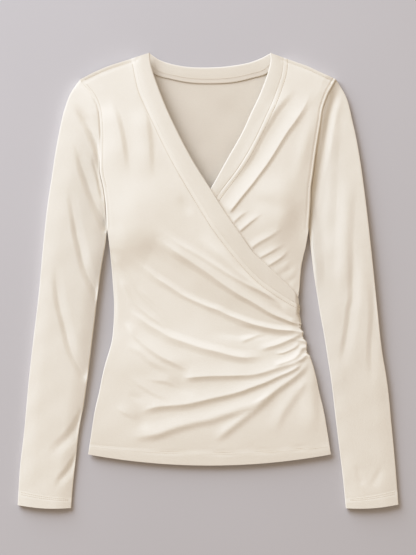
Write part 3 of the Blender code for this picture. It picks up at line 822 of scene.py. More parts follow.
def front_grid(side, other, band, rows, columns, hem_raised, inset):
    """A front's points. side is its own shoulder's column in the tables, other the far side's."""
    own_y, far_y = row_levels(rows)
    armhole = side_line(ARMHOLE, side, evenly(200))
    own = np.concatenate([armhole, side_line(SIDE, side, evenly(300))[1:]])
    sewn = lapped(band, evenly(200))
    seam = side_line(SIDE, other, evenly(300))
    far = np.concatenate([sewn, seam[seam[:, 1] < sewn[-1, 1] - JOIN_GAP]])
    shares = crowded(columns, EDGE_CROWD / FRONT_WIDTH)
    near_edge = at_heights(own, own_y)
    far_edge = at_heights(far, far_y)
    shoulder = side_line(SHOULDER, side, 1 - shares)
    # Where the other front covers this one, its edges stay inside that one's.
    inwards = 1 if side == 1 else -1
    start, run = HIDDEN_FROM
    near_edge[:, 0] += inwards * inset * smooth_step((start - near_edge[:, 1]) / run)
    far_edge[:, 0] -= inwards * inset * smooth_step((start - far_edge[:, 1]) / run)
    shoulder[-1] = far_edge[0]
    hem = hem_line(near_edge[-1, 0], far_edge[-1, 0], shares, hem_raised)
    near_edge[0] = shoulder[0]
    near_edge[-1], far_edge[-1] = hem[0], hem[-1]
    return patch(near_edge, far_edge, shoulder, hem)


def step_at_band(x, y, side, band):
    """How far a front drops where it runs on below its band, and at the stitches beside it."""
    into_band = side * distance(x, y, edge_line(band, SEWN, evenly(80)))[0]
    near = np.abs(into_band) < 2 * BAND_LAP
    step, start, run = BAND_STEP
    drop = -step * smooth_step((into_band - start) / run)
    return np.where(near, drop, 0) + seam_groove(into_band + BAND_ROW, *BAND_ROW_GROOVE)


def stitches(name, lines):
    """Rows of short stitches along lines of x, y and z on the cloth."""
    deselect_all()
    bpy.ops.mesh.primitive_uv_sphere_add(segments=6, ring_count=3, radius=0.5)
    rows = bpy.context.object
    rows.name = rows.data.name = name
    shape = np.array([vertex.co for vertex in rows.data.vertices])[:, [2, 0, 1]]
    faces = [list(face.vertices) for face in rows.data.polygons]
    points, polygons = [], []
    for line in lines:
        passed = passed_at(np.linalg.norm(np.diff(line, axis=0), axis=1))
        middles = np.arange(STITCH_STEP, passed[-1] - STITCH_STEP, STITCH_STEP)
        ends = [
            np.stack([np.interp(middles + end, passed, line[:, k]) for k in range(3)], 1)
            for end in (-STITCH / 2, STITCH / 2)
        ]
        for start, end in zip(*ends):
            along = Vector(end - start).normalized()
            side = Vector((0, 0, 1)).cross(along).normalized()
            axes = np.array([along * STITCH, side * THREAD, along.cross(side) * THREAD])
            polygons += [[corner + len(points) * len(shape) for corner in face] for face in faces]
            points.append((start + end) / 2 + shape @ axes)
    rows.data.clear_geometry()
    rows.data.from_pydata(np.concatenate(points) * MM, [], polygons)
    # The thread's darker tone is painted shade.
    rows.data.materials.append(thread_with_painted_shade)
    rows.data.update()
    rows.data.shade_smooth()
    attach(rows, "root")
    return rows


def on_top(line, top_of):
    """A line of x and y, laid on a piece's upper side."""
    return np.column_stack([line, top_of(line[:, 0], line[:, 1])])


def beside(line, away):
    """A line moved to its left by a distance."""
    step = np.gradient(line, axis=0)
    return line + np.stack([-step[:, 1], step[:, 0]], 1) / np.hypot(*step.T)[:, None] * away


# Core-spun polyester thread with a faint lustre, painted darker than the cloth for the shade in the
# stitch holes.
thread_with_painted_shade, tree, shader = new_material("thread_with_painted_shade")
place = add_node(tree, "ShaderNodeTexCoord")
twist = add_node(tree, "ShaderNodeTexNoise", Vector=place.outputs["Object"], Scale=900.0)
tone = add_node(
    tree,
    "ShaderNodeMix",
    {"data_type": "RGBA"},
    _0=twist.outputs["Fac"],
    _6=linear("#dccfbb"),
    _7=linear("#d0c3ad"),
)
tree.links.new(tone.outputs[2], shader.inputs["Base Color"])
shader.inputs["Roughness"].default_value = 0.55

under_grid = front_grid(2, 1, BAND_UNDER, UNDER_ROWS, UNDER_COLUMNS, HEM_STEP, HIDDEN_INSET)
x, y = under_grid[..., 0], under_grid[..., 1]
under_front, area = laid_piece(
    "under_front",
    under_grid,
    under_top(x, y) + step_at_band(x, y, RIGHT, BAND_UNDER),
    CLOTH,
    face_jersey,
    under_grid,
)
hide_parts("front_under")
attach(under_front, "root")
by_band = beside(edge_line(BAND_UNDER, SEWN, evenly(400))[UNDER_BAND_SEEN], BAND_ROW)
by_armhole = side_line(ARMHOLE, 2, evenly(200))[ARMHOLE_SEEN] - (ARMHOLE_ROW, 0)
by_shoulder = side_line(SHOULDER, 2, evenly(60))[SHOULDER_SEEN] - (0, SHOULDER_SEAM)
lines = [on_top(line, under_top) for line in (by_band, by_armhole, by_shoulder)]
rows = stitches("under_front_stitching", lines)


# ---------------------------------------------------------------------------------------------
# The over front: the wearer's right front, of jersey, wrapped over to the left side seam. It is
# cut longer at that edge and gathered there, so its folds fan out from the gathers, and softer
# ones run in from the right side seam. Stitches hold its seams' turnings, and a twin row its hem.
# ---------------------------------------------------------------------------------------------
OVER_HEIGHT = 13.6  # away from its edges
THIRD_LAYER = 6.8  # the hem of a layer that lies on the second one
HEM_DEPTH = 20.6  # the turned-up hem in its middle
HEM_NARROWING = 0.31  # and the share it loses towards its corners
HEM_ROWS = (17.2, 20.0)  # how far over the hem's edge its twin rows of stitches lie there
OVER_LIFT = 1.4  # over the under front
BAND_LIFT = 3.1  # the same close to its own band
BAND_LIFT_FROM = (46.0, 18.0)  # how far in from its free edge that begins, and over how far
LIFT_RUN = 6.0  # how far in from the sides the lift takes to come
BUST_RIGHT = (-94, 108, 3.0)  # fullness, as on the under front
BLEND = 0.6  # how softly its own height passes into the under front's
OVER_ROW_GROOVE = (0.25, 1.3)  # depth and half width, as on the under front
HEM_ROW_GROOVE = (0.45, 0.9)
TURNING = (0.55, 1.5)  # what the turned-up cloth of a hem adds, and over how far
OVER_FREE_OF_BAND = (27.0, 6.0)  # how far in from its free edge the folds begin, and over how far
OVER_FREE_OF_HEM = (10.0, 30.0)  # how far below the top of the hem they do, and over how far
OVER_WAVES = (82, 0.22)  # its slow waves: about how long, and how deep
OVER_BAND_SEEN = slice(6, None)  # which of 400 steps along its band's seam get stitches
HEM_ENDS = 2.0  # how far the hem's rows of stitches stay inside its corners

# The line below which the front falls in to the waist, how far it falls and how wide the fall is.
# It comes back up between the waist and the hips.
WAIST_LINE = [
    (-175, 84),
    (-130, 81),
    (-95, 82),
    (-70, 76),
    (-42, 55),
    (-12, 38),
    (16, 21),
    (43, 4),
    (73, -11),
    (106, -28),
    (133, -37),
    (165, -44),
]
WAIST_FALL = 7.0
WAIST_RUN = 75.0
HIP_RISE = (-25.0, -135.0)  # the y from which it comes back up, and the y where it is up
HIP_FALL = (4.4, 80.0, -180.0)  # how much lower the hips lie than the chest, from one y to another

# Rows of the over front, in the under front's columns. They fan out from the gathers.
OVER_ROWS = [
    (302, 334, 2),
    (301.2, 333.2, 3),
    (298, 330, 29),
    (210, 225, 26),
    (130, 105, 28),
    (80, 30, 18),
    (40, -36, 34),
    (-10, -60, 36),
    (-60, -76, 36),
    (-115, -92, 36),
    (-170, -110, 28),
    (-215, -150, 24),
    (-259, -259, 0),
]
OVER_COLUMNS = 146

# The course that the first two folds below the over front's band share.
BELOW_BAND = [(-57, 65.5), (-42, 54.3), (-27, 46), (-12, 37.2), (2, 28.5), (15.8, 20), (29, 11.4),
    (43.3, 2.9), (58, -5), (73.5, -12.2), (90, -21), (105.8, -29.2)]

# Folds of the over front, in the under front's columns.
OVER_FOLDS = [
    # from the gathers towards the wearer's right, from the top one down
    (3, 16, 10, 22, 14, 0.3, 0.3, 0.1, [(-14, 70), (-3, 60), (8, 49), (20, 38), (30, 28), (44, 14),
        (59, 3.5), (70, -5), (84, -13), (97, -20), (110, -27)]),
    (1.2, 24, 17, 12, 8, 0.3, 0.2, 0.1, [(-78, 79), (-70, 75.5), *BELOW_BAND, (120, -34), (133.4, -38)]),
    (0.7, 7, 5, 6, 5, 0.6, 0.2, 0.1, [(-68, 73), *BELOW_BAND]),
    (3, 14, 5, 15, 13, 0.6, 0.18, 0.06, [(-77, 65), (-64, 55.5), (-50.7, 45.8), (-38, 37), (-25, 28.8),
        (-12, 20), (0.8, 11.4), (15, 0.6), (30.8, -10), (46, -20), (62.9, -29.2), (79, -39),
        (95, -48.6), (115, -57), (137, -66)]),
    (2.6, 15, 10, 10, 9, 0.7, 0.3, 0.06, [(-120, 45.7), (-109, 33), (-98.6, 22), (-90, 15.7), (-79, 6),
        (-64, -3.6), (-51.4, -12), (-38.6, -20.7), (-25.7, -27), (-13, -32.5), (0, -38), (15, -43),
        (30, -50.7), (47, -57), (66, -64), (83.4, -68.3), (100.5, -71.7), (117.6, -73.2),
        (130.5, -74.3), (139, -75.4)]),
    (1, 5.5, 5.5, 13.2, 13.2, 0.5, 0.3, 0.3, [(45, -91), (60, -86), (72, -81), (88, -78)]),
    (2.4, 14, 11, 13, 12, 0.7, 0.2, 0.2, [(-128, -25), (-118, -39), (-109, -49.6), (-98.6, -58),
        (-88, -65.7), (-73, -74), (-60, -82), (-47, -87), (-34, -91.4), (-17, -97.4), (0, -102),
        (15, -105.4), (34, -110.7), (55.5, -114), (72.6, -113), (87.6, -113)]),
    (2.3, 10, 8, 24, 20, 0.9, 0.1, 0.06, [(-40, -145), (-21, -143.5), (0, -142), (23, -141.5),
        (45, -141), (66, -140), (82, -136.5), (99, -131), (116, -126), (130, -121.5), (140, -115.5),
        (147, -110)]),
    (2.6, 12, 6, 28, 18, 0.9, 0.12, 0.05, [(-104, -198), (-92, -192), (-77, -188), (-55, -186),
        (-34, -184), (-12, -179.5), (8.6, -174.5), (23, -171.5), (45, -166), (66, -158.5), (88, -150.5),
        (107, -141.5), (121, -135.5), (133, -128.5), (141, -121)]),
    (2.4, 11, 9, 24, 16, 0.6, 0.15, 0.1, [(-120, -232), (-105, -233), (-90, -231), (-75, -228.5),
        (-60, -223), (-45, -218), (-20, -211.5), (2, -207), (23, -200), (45, -193.4), (66, -184.8),
        (88, -172), (109, -157), (130, -142), (143, -129), (152, -114)]),
    (2.1, 9, 7, 15, 11, 0.5, 0.25, 0.25, [(5, -240), (18, -232), (31, -222), (45, -211), (60, -199.5),
        (75, -188), (90, -175), (103, -163)]),
    (1.4, 9.9, 8.8, 19.8, 17.6, 0.4, 0.4, 0.2, [(97, -232), (104, -213), (112, -196), (122, -181),
        (132, -168), (140, -157), (147, -143)]),
    (1.3, 15.4, 13.2, 26.4, 22, 0, 0.3, 0.3, [(150, -235), (154, -210), (155, -180), (154, -150),
        (150, -120)]),
    # the knot of gathers at the left side seam
    (1.4, 7, 6, 10, 9, 0.5, 0.3, 0.1, [(72.6, -104), (88, -99), (100.5, -95.7), (117.6, -89),
        (130.5, -83), (140, -78)]),
    (0.9, 3.5, 4, 5.6, 6.4, 0.6, 0.2, 0.15, [(100, -108), (112, -107), (122, -103), (131, -98),
        (137, -90)]),
    (1.2, 6, 5, 9, 8, 0.6, 0.2, 0.1, [(96, -127), (108, -123), (120, -119), (131, -113.5), (138, -105),
        (144, -96)]),
    (0.7, 3, 3, 4.8, 4.8, 0.6, 0.3, 0.2, [(137, -121), (143, -115), (148, -108)]),
    # from the wearer's right side seam, from the top one down
    (1.5, 5, 6, 15, 18, 0.6, 0.15, 0.4, [(-146, 46), (-136, 27), (-128, 14), (-118, 1), (-107, -14),
        (-94, -28), (-81, -40), (-68, -52), (-55, -63)]),
    (1.9, 6, 7, 16, 20, 0.6, 0.2, 0.3, [(-136, 12), (-130, -1), (-122, -16), (-113, -29), (-104.5, -38),
        (-96, -45.5), (-84, -55), (-69, -65), (-56, -72.5)]),
    (0.9, 5.5, 5.5, 21.1, 21.1, 0.5, 0.4, 0.5, [(-110, -4), (-100, -15), (-91, -23), (-77, -36),
        (-63, -46)]),
    (2, 7, 8, 16, 20, 0.6, 0.2, 0.25, [(-127, -55), (-118, -69), (-109.5, -82), (-101, -90),
        (-91, -98.5), (-82, -105), (-69, -113.5), (-52, -121.5), (-39, -128.5), (-26, -132)]),
    (1.3, 9.9, 8.8, 21.1, 21.1, 0.6, 0.3, 0.5, [(-126, -96), (-114, -98.5), (-101, -106), (-88, -117.5),
        (-73, -126.5), (-60, -132.5), (-49, -140)]),
    (0.9, 6.6, 6.6, 18.5, 18.5, 0.5, 0.5, 0.5, [(-97, -144.5), (-81, -147.5), (-64, -149.5),
        (-50, -155), (-36, -161)]),
    (0.9, 6.6, 6.6, 18.5, 18.5, 0.5, 0.4, 0.5, [(-118, -136), (-107.5, -150), (-95.5, -158.5),
        (-81, -167.5), (-67, -173), (-47, -174.5)]),
    (0.9, 6.6, 6.6, 16.9, 16.9, 0.5, 0.5, 0.5, [(-140, -185), (-129.5, -193), (-117.5, -200),
        (-106, -205.5)]),
    # soft falls from the shoulder
    (2.2, 9.9, 9.9, 35.2, 35.2, 0, 0.4, 0.3, [(-124, 156), (-126, 177), (-129, 199), (-133, 222),
        (-138, 242), (-145, 258), (-152, 270)]),
    (1.7, 9.9, 9.9, 30.8, 30.8, 0, 0.4, 0.3, [(-86, 149), (-88, 169), (-89, 189), (-90, 209),
        (-92, 227), (-95, 246), (-99, 262)]),
]

# Its soft ridges and troughs.
OVER_SWELLS = [
    (-1.5, 13, [(-98, 62), (-84, 48), (-66, 33), (-46, 16), (-20, -2)]),
    (-2.0, 8, [(0, -76), (19, -76), (40, -77), (66, -76), (88, -79), (109, -80.7), (128, -79.6)]),
    (-0.9, 9, [(-60, -144), (-45, -155), (-32, -163), (-20, -172)]),
    (-0.9, 8, [(-112, -203), (-101, -208), (-97, -217), (-96, -226)]),
    (-0.5, 6, [(-120, -167.6), (-109, -173), (-92, -178.4)]),
    (-0.8, 7, [(-44.5, 127), (-36, 115), (-24.5, 99)]),
    (0.7, 14, [(-112, 300), (-104, 250), (-92, 200), (-78, 160)]),
]

# Gathers of the left side seam: the y of each ridge where it leaves the seam, and its height.
GATHERS = [(-44, 0.4), (-57, 0.7), (-65, 0.7), (-77, 1.0), (-90, 1.0), (-100, 0.8), (-113, 0.8)]
GATHER_REACH = 11.0  # how far in from the seam the gathers run
GATHER_START = 3.0  # how far in from it they take to rise
GATHER_WIDTH = 3.0
GATHER_SLANT = 0.2  # how much each rises for every millimetre in from the seam


def gather_relief(x, y):
    """What the gathers of the left side seam add to the over front's height."""
    seam = side_line(SIDE, 2, evenly(120))
    in_from_seam = np.abs(distance(x, y, seam)[0])
    total = np.zeros_like(x)
    for ridge_y, height in GATHERS:
        off_ridge = (y - ridge_y - GATHER_SLANT * in_from_seam) / GATHER_WIDTH
        total += height * np.exp(-(off_ridge**2) - (in_from_seam / GATHER_REACH) ** 2)
    return total * rise(in_from_seam, GATHER_START)


def over_top(x, y):
    """Upper side of the over front. Near its band it lies on the under front."""
    past = past_over_band(x, y)
    below = -distance(x, y, smooth_line(WAIST_LINE, evenly(60)))[0]
    risen = smooth_step((HIP_RISE[0] - y) / (HIP_RISE[0] - HIP_RISE[1]))
    height = OVER_HEIGHT - WAIST_FALL * smooth_step(below / WAIST_RUN) * (1 - risen)
    height -= HIP_FALL[0] * smooth_step((HIP_FALL[1] - y) / (HIP_FALL[1] - HIP_FALL[2]))
    height += fullness(x, y, BUST_RIGHT)
    own, to_hem, to_armhole = front_crown(x, y, height, THIRD_LAYER)
    to_side = from_edges(x, y, SIDE)
    relief = fold_relief(x, y, OVER_FOLDS) + swell_relief(x, y, OVER_SWELLS)
    start, run = OVER_FREE_OF_BAND
    relief = relief * smooth_step((-past - start) / run) + wander(x, y, *OVER_WAVES)
    start, run = OVER_FREE_OF_HEM
    held = rise(to_hem - HEM_DEPTH + start, run) * rise(to_side, FREE_OF_SIDE)
    held = held * rise(to_armhole, FREE_OF_ARMHOLE)
    own += relief * held * rise(from_edges(x, y, SHOULDER), FREE_OF_SHOULDER) + gather_relief(x, y)
    start, run = BAND_LIFT_FROM
    lift = OVER_LIFT + (BAND_LIFT - OVER_LIFT) * smooth_step((past + start) / run)
    resting = under_base(x, y) + lift * smooth_step(to_side / LIFT_RUN)
    # The higher of the two, with a rounded change from one to the other.
    top = (own + resting + np.sqrt((own - resting) ** 2 + BLEND)) / 2
    full_depth = 1 - HEM_NARROWING * (1 - over_middle(x))
    step, run = TURNING
    top += step * smooth_step((HEM_DEPTH * full_depth - to_hem) / run)
    top += seam_groove(to_armhole, *ARMHOLE_GROOVE)
    top += seam_groove(to_armhole - ARMHOLE_ROW, *OVER_ROW_GROOVE)
    for depth in HEM_ROWS:
        top += seam_groove(to_hem - depth * full_depth, *HEM_ROW_GROOVE)
    return top


over_grid = front_grid(1, 2, BAND_OVER, OVER_ROWS, OVER_COLUMNS, 0.0, 0.0)
x, y = over_grid[..., 0], over_grid[..., 1]
over_front, area = laid_piece(
    "over_front",
    over_grid,
    over_top(x, y) + step_at_band(x, y, LEFT, BAND_OVER),
    CLOTH,
    face_jersey,
    over_grid,
)
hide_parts("front_over")
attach(over_front, "root")
lines = [hem_line(SIDE[-1][1] + HEM_ENDS, SIDE[-1][2] - HEM_ENDS, evenly(160)) for _ in HEM_ROWS]
for line, depth in zip(lines, HEM_ROWS):
    line[:, 1] += depth * (1 - HEM_NARROWING * (1 - over_middle(line[:, 0])))
lines.append(beside(edge_line(BAND_OVER, SEWN, evenly(400))[OVER_BAND_SEEN], -BAND_ROW))
lines.append(side_line(ARMHOLE, 1, evenly(200))[ARMHOLE_SEEN] + (ARMHOLE_ROW, 0))
lines.append(side_line(SHOULDER, 1, evenly(60))[SHOULDER_SEEN] - (0, SHOULDER_SEAM))
rows = stitches("over_front_stitching", [on_top(line, over_top) for line in lines])


# ---------------------------------------------------------------------------------------------
# The neckbands: strips of jersey folded in half along their length, 25 mm wide when finished.
# Each is sewn to its panel's edge by its raw edges, and its fold is the garment's free edge.
# ---------------------------------------------------------------------------------------------
BAND = 1.8  # the doubled cloth
BAND_WIDTH = 25.0
BAND_STEPS = 280
# The shares of its width at which its columns lie.
BAND_SECTION = [0, 0.012, 0.03, 0.06, 0.1, 0.2, 0.35, 0.5, 0.65, 0.8, 0.88, 0.93, 0.965, 0.985, 1]
BAND_CROWN = 0.35  # how much higher its middle is
BAND_AT_SEAM = (0.9, 1.2)  # how far it drops to its seam, and over how far
BAND_AT_FOLD = (1.2, 1.8)  # and to its fold
BACK_BAND_TOP = 2.9  # the back band's upper side over the board
BACK_BAND_RISE = (1.2, 14.0, 30.0)  # how much it rises at both ends, from how far off, and over how far
BACK_BAND_ROW = 0.3  # the share of its width at which a row of stitches holds its turnings
BACK_BAND_STEPS = 100
BACK_BAND_SEEN = slice(4, -4)  # which of them get stitches


def band_grid(band, shares):
    """A band's points from its sewn edge to its folded one, and the share of the way across."""
    free = edge_line(band, FREE, shares)
    sewn = edge_line(band, SEWN, shares)
    across = np.array(BAND_SECTION, float)[None, :, None]
    return sewn[:, None] * (1 - across) + free[:, None] * across, across[..., 0]


def band_relief(across):
    """A band's section: it drops to the seam at one edge and rolls over at the other."""
    from_seam, from_fold = across * BAND_WIDTH, (1 - across) * BAND_WIDTH
    drops = BAND_AT_SEAM[0] * (1 - rounded(from_seam, BAND_AT_SEAM[1]))
    drops = drops + BAND_AT_FOLD[0] * (1 - rounded(from_fold, BAND_AT_FOLD[1]))
    return BAND_CROWN * np.sin(np.pi * across) - drops


def neckband(name, node, band, top_of, shares, material):
    """One band, standing for its CAD node."""
    grid, across = band_grid(band, shares)
    top = top_of(grid[..., 0], grid[..., 1]) + band_relief(across)
    step = np.hypot(*np.diff(grid[:, 0], axis=0).T)
    along = passed_at(step)[:, None] + np.zeros_like(top)
    uv = np.dstack([along, across * BAND_WIDTH + np.zeros_like(top)])
    piece, area = laid_piece(name, grid, top, BAND, material, uv)
    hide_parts(node)
    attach(piece, "root")
    return piece, area


def back_band_top(x, y):
    """The back band lies on the board, and rises to the front bands at the shoulders."""
    from_end = np.minimum(x - BAND_BACK[0][0], BAND_BACK[-1][0] - x)
    height, start, run = BACK_BAND_RISE
    return BACK_BAND_TOP + height * smooth_step((start - from_end) / run)


shares = evenly(BACK_BAND_STEPS)
# The back band takes the doubled cloth with painted shade.
back_band, area = neckband(
    "back_band", "neckband_back", BAND_BACK, back_band_top, shares, band_with_painted_shade
)
sewn = edge_line(BAND_BACK, SEWN, shares)[BACK_BAND_SEEN]
free = edge_line(BAND_BACK, FREE, shares)[BACK_BAND_SEEN]
line = sewn + (free - sewn) * BACK_BAND_ROW
rows = stitches("back_band_stitching", [on_top(line, back_band_top) + (0, 0, BAND_CROWN)])
shares = evenly(BAND_STEPS)
under_band, area = neckband(
    "under_band", "neckband_under", BAND_UNDER, under_top, shares, band_jersey
)
over_band, area = neckband("over_band", "neckband_over", BAND_OVER, over_top, shares, band_jersey)


# ---------------------------------------------------------------------------------------------
# The sleeves: each is one piece of jersey, sewn into a tube along the underarm and set into its
# armhole, with a turned-up hem at the cuff. They lie flat with the arm's fullness still in them.
# ---------------------------------------------------------------------------------------------
SLEEVE_EDGE = 2.6  # a sleeve's folded edge over the board
# How far each sleeve's fold that faces the wearer's right lies below the crown, and the other one.
SLEEVE_FALL = {"right": (1.6, 3.2), "left": (1.2, 1.8)}
SLEEVE_RUN = (24.0, 26.0)  # how far in the cloth rises on from them
SLEEVE_HEIGHT = 12.4  # at the elbow
SHOULDER_HEIGHT = {"right": 12.4, "left": 8.0}  # at the shoulder
SETTLING = (14.0, 54.0)  # how far from the armhole it takes to fall, or to rise, to that height
CUFF_HEIGHT = 7.4  # at the wrist
SHOULDER_TO = 0.6  # the share of its length by which the shoulder's height is gone
WRIST_FROM = (0.35, 0.65)  # the share past which it falls to the wrist, and over how much
SLEEVE_WIDTH = 95.0  # across the upper arm
SLEEVE_ROLL = 2.6  # radius of the folds
SLEEVE_LAP = 0.6  # how far a sleeve reaches in under the front's edge
SEAM_CREVICE = (1.0, 4.0)  # how deep the sleeve dips at its seam, at the shoulder and underarm
CREVICE_FROM = (215.0, 145.0)  # the y from which it deepens, and where it is deepest
CREVICE_RUN = 3.0  # how far from the seam it takes to come out
VALLEY_FLOOR = 2.8  # the lowest that its upper side lies over the board, away from the seam
CREVICE_FLOOR = 2.4  # and at the seam
ARMHOLE_SHAPE_TO = 0.5  # the share of its length over which its sections lose the armhole's curve
CUFF_BOW = 2.6  # how far the cuff's edge bows below the line between its two corners
CUFF_BOW_FROM = (0.9, 0.1)  # the share of its length past which sections bow, and over how much
CUFF_DEPTH = 17.4  # how deep its turned-up hem is
CUFF_ROWS = (14.0, 16.8)  # how far over the cuff's edge the twin rows of stitches lie
SLEEVE_FREE_OF_FOLD = 5.0  # how far in from its own folded edges its creases take to rise
SLEEVE_FREE_OF_SEAM = 4.0  # and from the armhole
SLEEVE_FREE_OF_CUFF = (14.0, 12.0)  # how far over the cuff's edge they begin, and over how far
SLEEVE_WAVES = (70, 0.25)  # its slow waves: about how long, and how deep
SLEEVE_STATIONS = 300
SLEEVE_COLUMNS = 60
UNDERSIDE_COLUMNS = 14
ROLL_COLUMNS = np.array([0.25, 0.6])  # how far round its rolled edges two more columns lie
STITCHED = slice(4, -4)  # which of its columns the rows of stitches cross
OUTER, INNER = 0, 2  # where the x and y of its two folds stand in a row of its table
SAME_PLACE = 0.01 * MM  # points nearer than this are one

# Sleeve edges, from the shoulder to the cuff, at the wearer's right and then left: the outer
# fold's x and y, then the inner fold's x and y.
SLEEVE_RIGHT = [
    (-192, 302, -151.5, 80),
    (-206, 282, -153.5, 57),
    (-215.4, 257, -157, 36),
    (-223.6, 221, -160.5, 14),
    (-229, 191.5, -163.5, -8),
    (-234.5, 153, -167, -35),
    (-240, 117, -170, -62),
    (-246.5, 57, -174.5, -98),
    (-252.5, -10, -180, -143),
    (-262.5, -95, -187, -190),
    (-268.5, -148, -191.5, -212),
    (-276.5, -233.5, -198.3, -268),
    (-281.5, -275.5, -201.5, -297),
    (-285.3, -335, -205.1, -339.6),
]
SLEEVE_LEFT = [
    (192, 302, 151, 80),
    (206, 278.5, 152.5, 62),
    (216.8, 238.8, 155, 38),
    (226, 193.2, 158.5, 10),
    (235, 129.6, 163.5, -22),
    (242.4, 66.3, 168, -50),
    (245.9, 33.3, 172.5, -74),
    (253.4, -40.2, 178.5, -112),
    (260.9, -106.2, 184.2, -148.2),
    (267.9, -148.2, 191, -206),
    (274.7, -212.7, 197, -254.7),
    (280.7, -275.7, 201.6, -292.2),
    (285.3, -334.2, 206.3, -339.8),
]

# Folds of the sleeves, in the under front's columns.
SLEEVE_FOLDS = {
    "right": [
        # valleys that run down to the armhole
        (-3.4, 9, 9, 14, 12, 0.5, 0.3, 0.1, [(-198, 266), (-193, 255), (-187, 244), (-182, 236),
            (-177, 227), (-172.5, 217), (-168.6, 207), (-166, 198), (-163, 186), (-160, 172),
            (-157, 160)]),
        (-1.6, 4, 4, 9.6, 9.6, 0.5, 0.3, 0.1, [(-176, 190), (-172, 180), (-168.5, 168), (-165, 156),
            (-162, 139), (-158, 120)]),
        # long ones that curve in to the inner fold, from the underarm down to below the elbow
        (-3.8, 7, 13, 14, 16, 0.6, 0.45, 0.05, [(-200, 210), (-197.6, 200), (-194, 188), (-191, 176),
            (-187.5, 166), (-184, 156), (-179.5, 143.5), (-175.4, 132), (-172, 123), (-168.6, 115),
            (-164, 106), (-160, 98), (-153, 84), (-147, 72)]),
        (-2.9, 7, 11, 14, 16, 0.5, 0.45, 0.08, [(-208, 148), (-206.5, 133), (-204.4, 118),
            (-202.5, 104), (-200, 91), (-198, 79), (-196, 67), (-193.5, 57), (-191, 47), (-188.5, 35),
            (-185.7, 23), (-182, 13), (-179, 6), (-172, -8), (-165, -24), (-158, -40)]),
        (-2.4, 8, 9, 15, 15, 0.5, 0.4, 0.08, [(-228, 30), (-227.5, 10), (-226.5, -8), (-224, -28),
            (-221.5, -41), (-217, -58), (-212, -79), (-208, -96), (-201.7, -113), (-195, -126),
            (-188, -138), (-180, -152)]),
        # shorter ones from the inner fold towards the cuff
        (-1.8, 11, 12, 15, 15, 0.3, 0.1, 0.5, [(-180, -190), (-192, -208), (-197, -217), (-203.4, -226),
            (-209, -233), (-215, -239), (-225.6, -249), (-234, -259), (-240, -268)]),
        (-1.7, 8, 9, 12, 12, 0.4, 0.1, 0.4, [(-186, -248), (-198, -266), (-205, -277), (-212, -287),
            (-220.4, -297), (-227, -309), (-231, -316)]),
    ],
    "left": [
        # the valley along the armhole, and ridges beside it and below it
        (-2.2, 8, 9, 11, 12, 0.2, 0.12, 0.2, [(191, 290), (187.5, 268), (181, 243), (176.5, 220),
            (172.5, 195), (167, 170), (163, 148), (160, 124), (157, 98)]),
        (0.8, 13, 12, 12, 12, 0, 0.35, 0.1, [(172, 48), (176, 70), (180, 105), (182.5, 139),
            (183.5, 166), (185, 193), (187, 217), (188.6, 241), (190.3, 258), (192, 280)]),
        (2.2, 17, 17, 3, 3, 0.3, 0.3, 0.3, [(163, -16), (159, 20), (157, 45), (156, 70), (157, 98)]),
        # a broad ridge along the upper arm, and two long valleys past the elbow
        (1.6, 14, 14, 18, 18, 0, 0.3, 0.4, [(197, -30), (202, 2.5), (204, 36.6), (205.7, 70.7),
            (207.4, 105), (209, 139), (210, 165)]),
        (-1.5, 9, 9, 16, 16, 0.3, 0.4, 0.2, [(217.6, 70), (217, 20), (216, -10), (215.6, -27.5),
            (212, -45), (210.5, -62), (207.7, -79), (205, -96), (202, -113), (198.5, -127)]),
        (-1.1, 9, 9, 14, 14, 0.3, 0.4, 0.3, [(243, 20), (245, -5), (246.3, -27), (247, -55),
            (244.6, -82), (243.5, -109), (244.5, -133), (245, -160)]),
        # two short valleys over the cuff
        (-0.5, 8, 8, 11, 11, 0.3, 0.4, 0.2, [(261, -272), (257, -285), (250, -298), (245, -309)]),
        (-0.5, 8, 8, 11, 11, 0.3, 0.4, 0.2, [(221, -272), (224, -284), (228, -296), (231, -306)]),
    ],
}


def sleeve_top(x, y, over, share, width, armhole, side, to_cuff):
    """Height of a sleeve's upper side, from the outer fold to the inner one, at its sections."""
    start, run = WRIST_FROM
    height = SLEEVE_HEIGHT + (CUFF_HEIGHT - SLEEVE_HEIGHT) * smooth_step((share - start) / run)
    height -= (SLEEVE_HEIGHT - SHOULDER_HEIGHT[side]) * (1 - smooth_step(share / SHOULDER_TO))
    to_armhole = np.abs(distance(x, y, armhole)[0])
    seam, drop = armhole_height(x, y)
    start = seam - drop
    run = np.where(height < start, *SETTLING)
    crown = start + (height - start) * rise(to_armhole, run)
    # Which of the two folds faces the wearer's right.
    facing = over if side == "right" else 1 - over
    width = np.minimum(width, SLEEVE_WIDTH)
    top = crown
    folds = (facing * width, (1 - facing) * width)
    for to_fold, fall, run in zip(folds, SLEEVE_FALL[side], SLEEVE_RUN):
        top = np.minimum(top, crown - fall * (1 - rise(to_fold, run)))
    to_fold = np.minimum(over, 1 - over) * width
    top = SLEEVE_EDGE + (top - SLEEVE_EDGE) * rounded(to_fold, FOLD_RUN)
    relief = fold_relief(x, y, SLEEVE_FOLDS[side]) + wander(x, y, *SLEEVE_WAVES)
    relief = relief * rise(to_fold, SLEEVE_FREE_OF_FOLD) * rise(to_armhole, SLEEVE_FREE_OF_SEAM)
    start, run = SLEEVE_FREE_OF_CUFF
    top += relief * rise(to_cuff - start, run)
    lower = smooth_step((CREVICE_FROM[0] - y) / (CREVICE_FROM[0] - CREVICE_FROM[1]))
    crevice = SEAM_CREVICE[0] + (SEAM_CREVICE[1] - SEAM_CREVICE[0]) * lower
    crevice = np.minimum(crevice, top - CREVICE_FLOOR) * (1 - rounded(to_armhole, CREVICE_RUN))
    top = np.maximum(top, VALLEY_FLOOR) - crevice
    step, run = TURNING
    top += step * smooth_step((CUFF_DEPTH - to_cuff) / run)
    for depth in CUFF_ROWS:
        top += seam_groove(to_cuff - depth, *HEM_ROW_GROOVE)
    return top


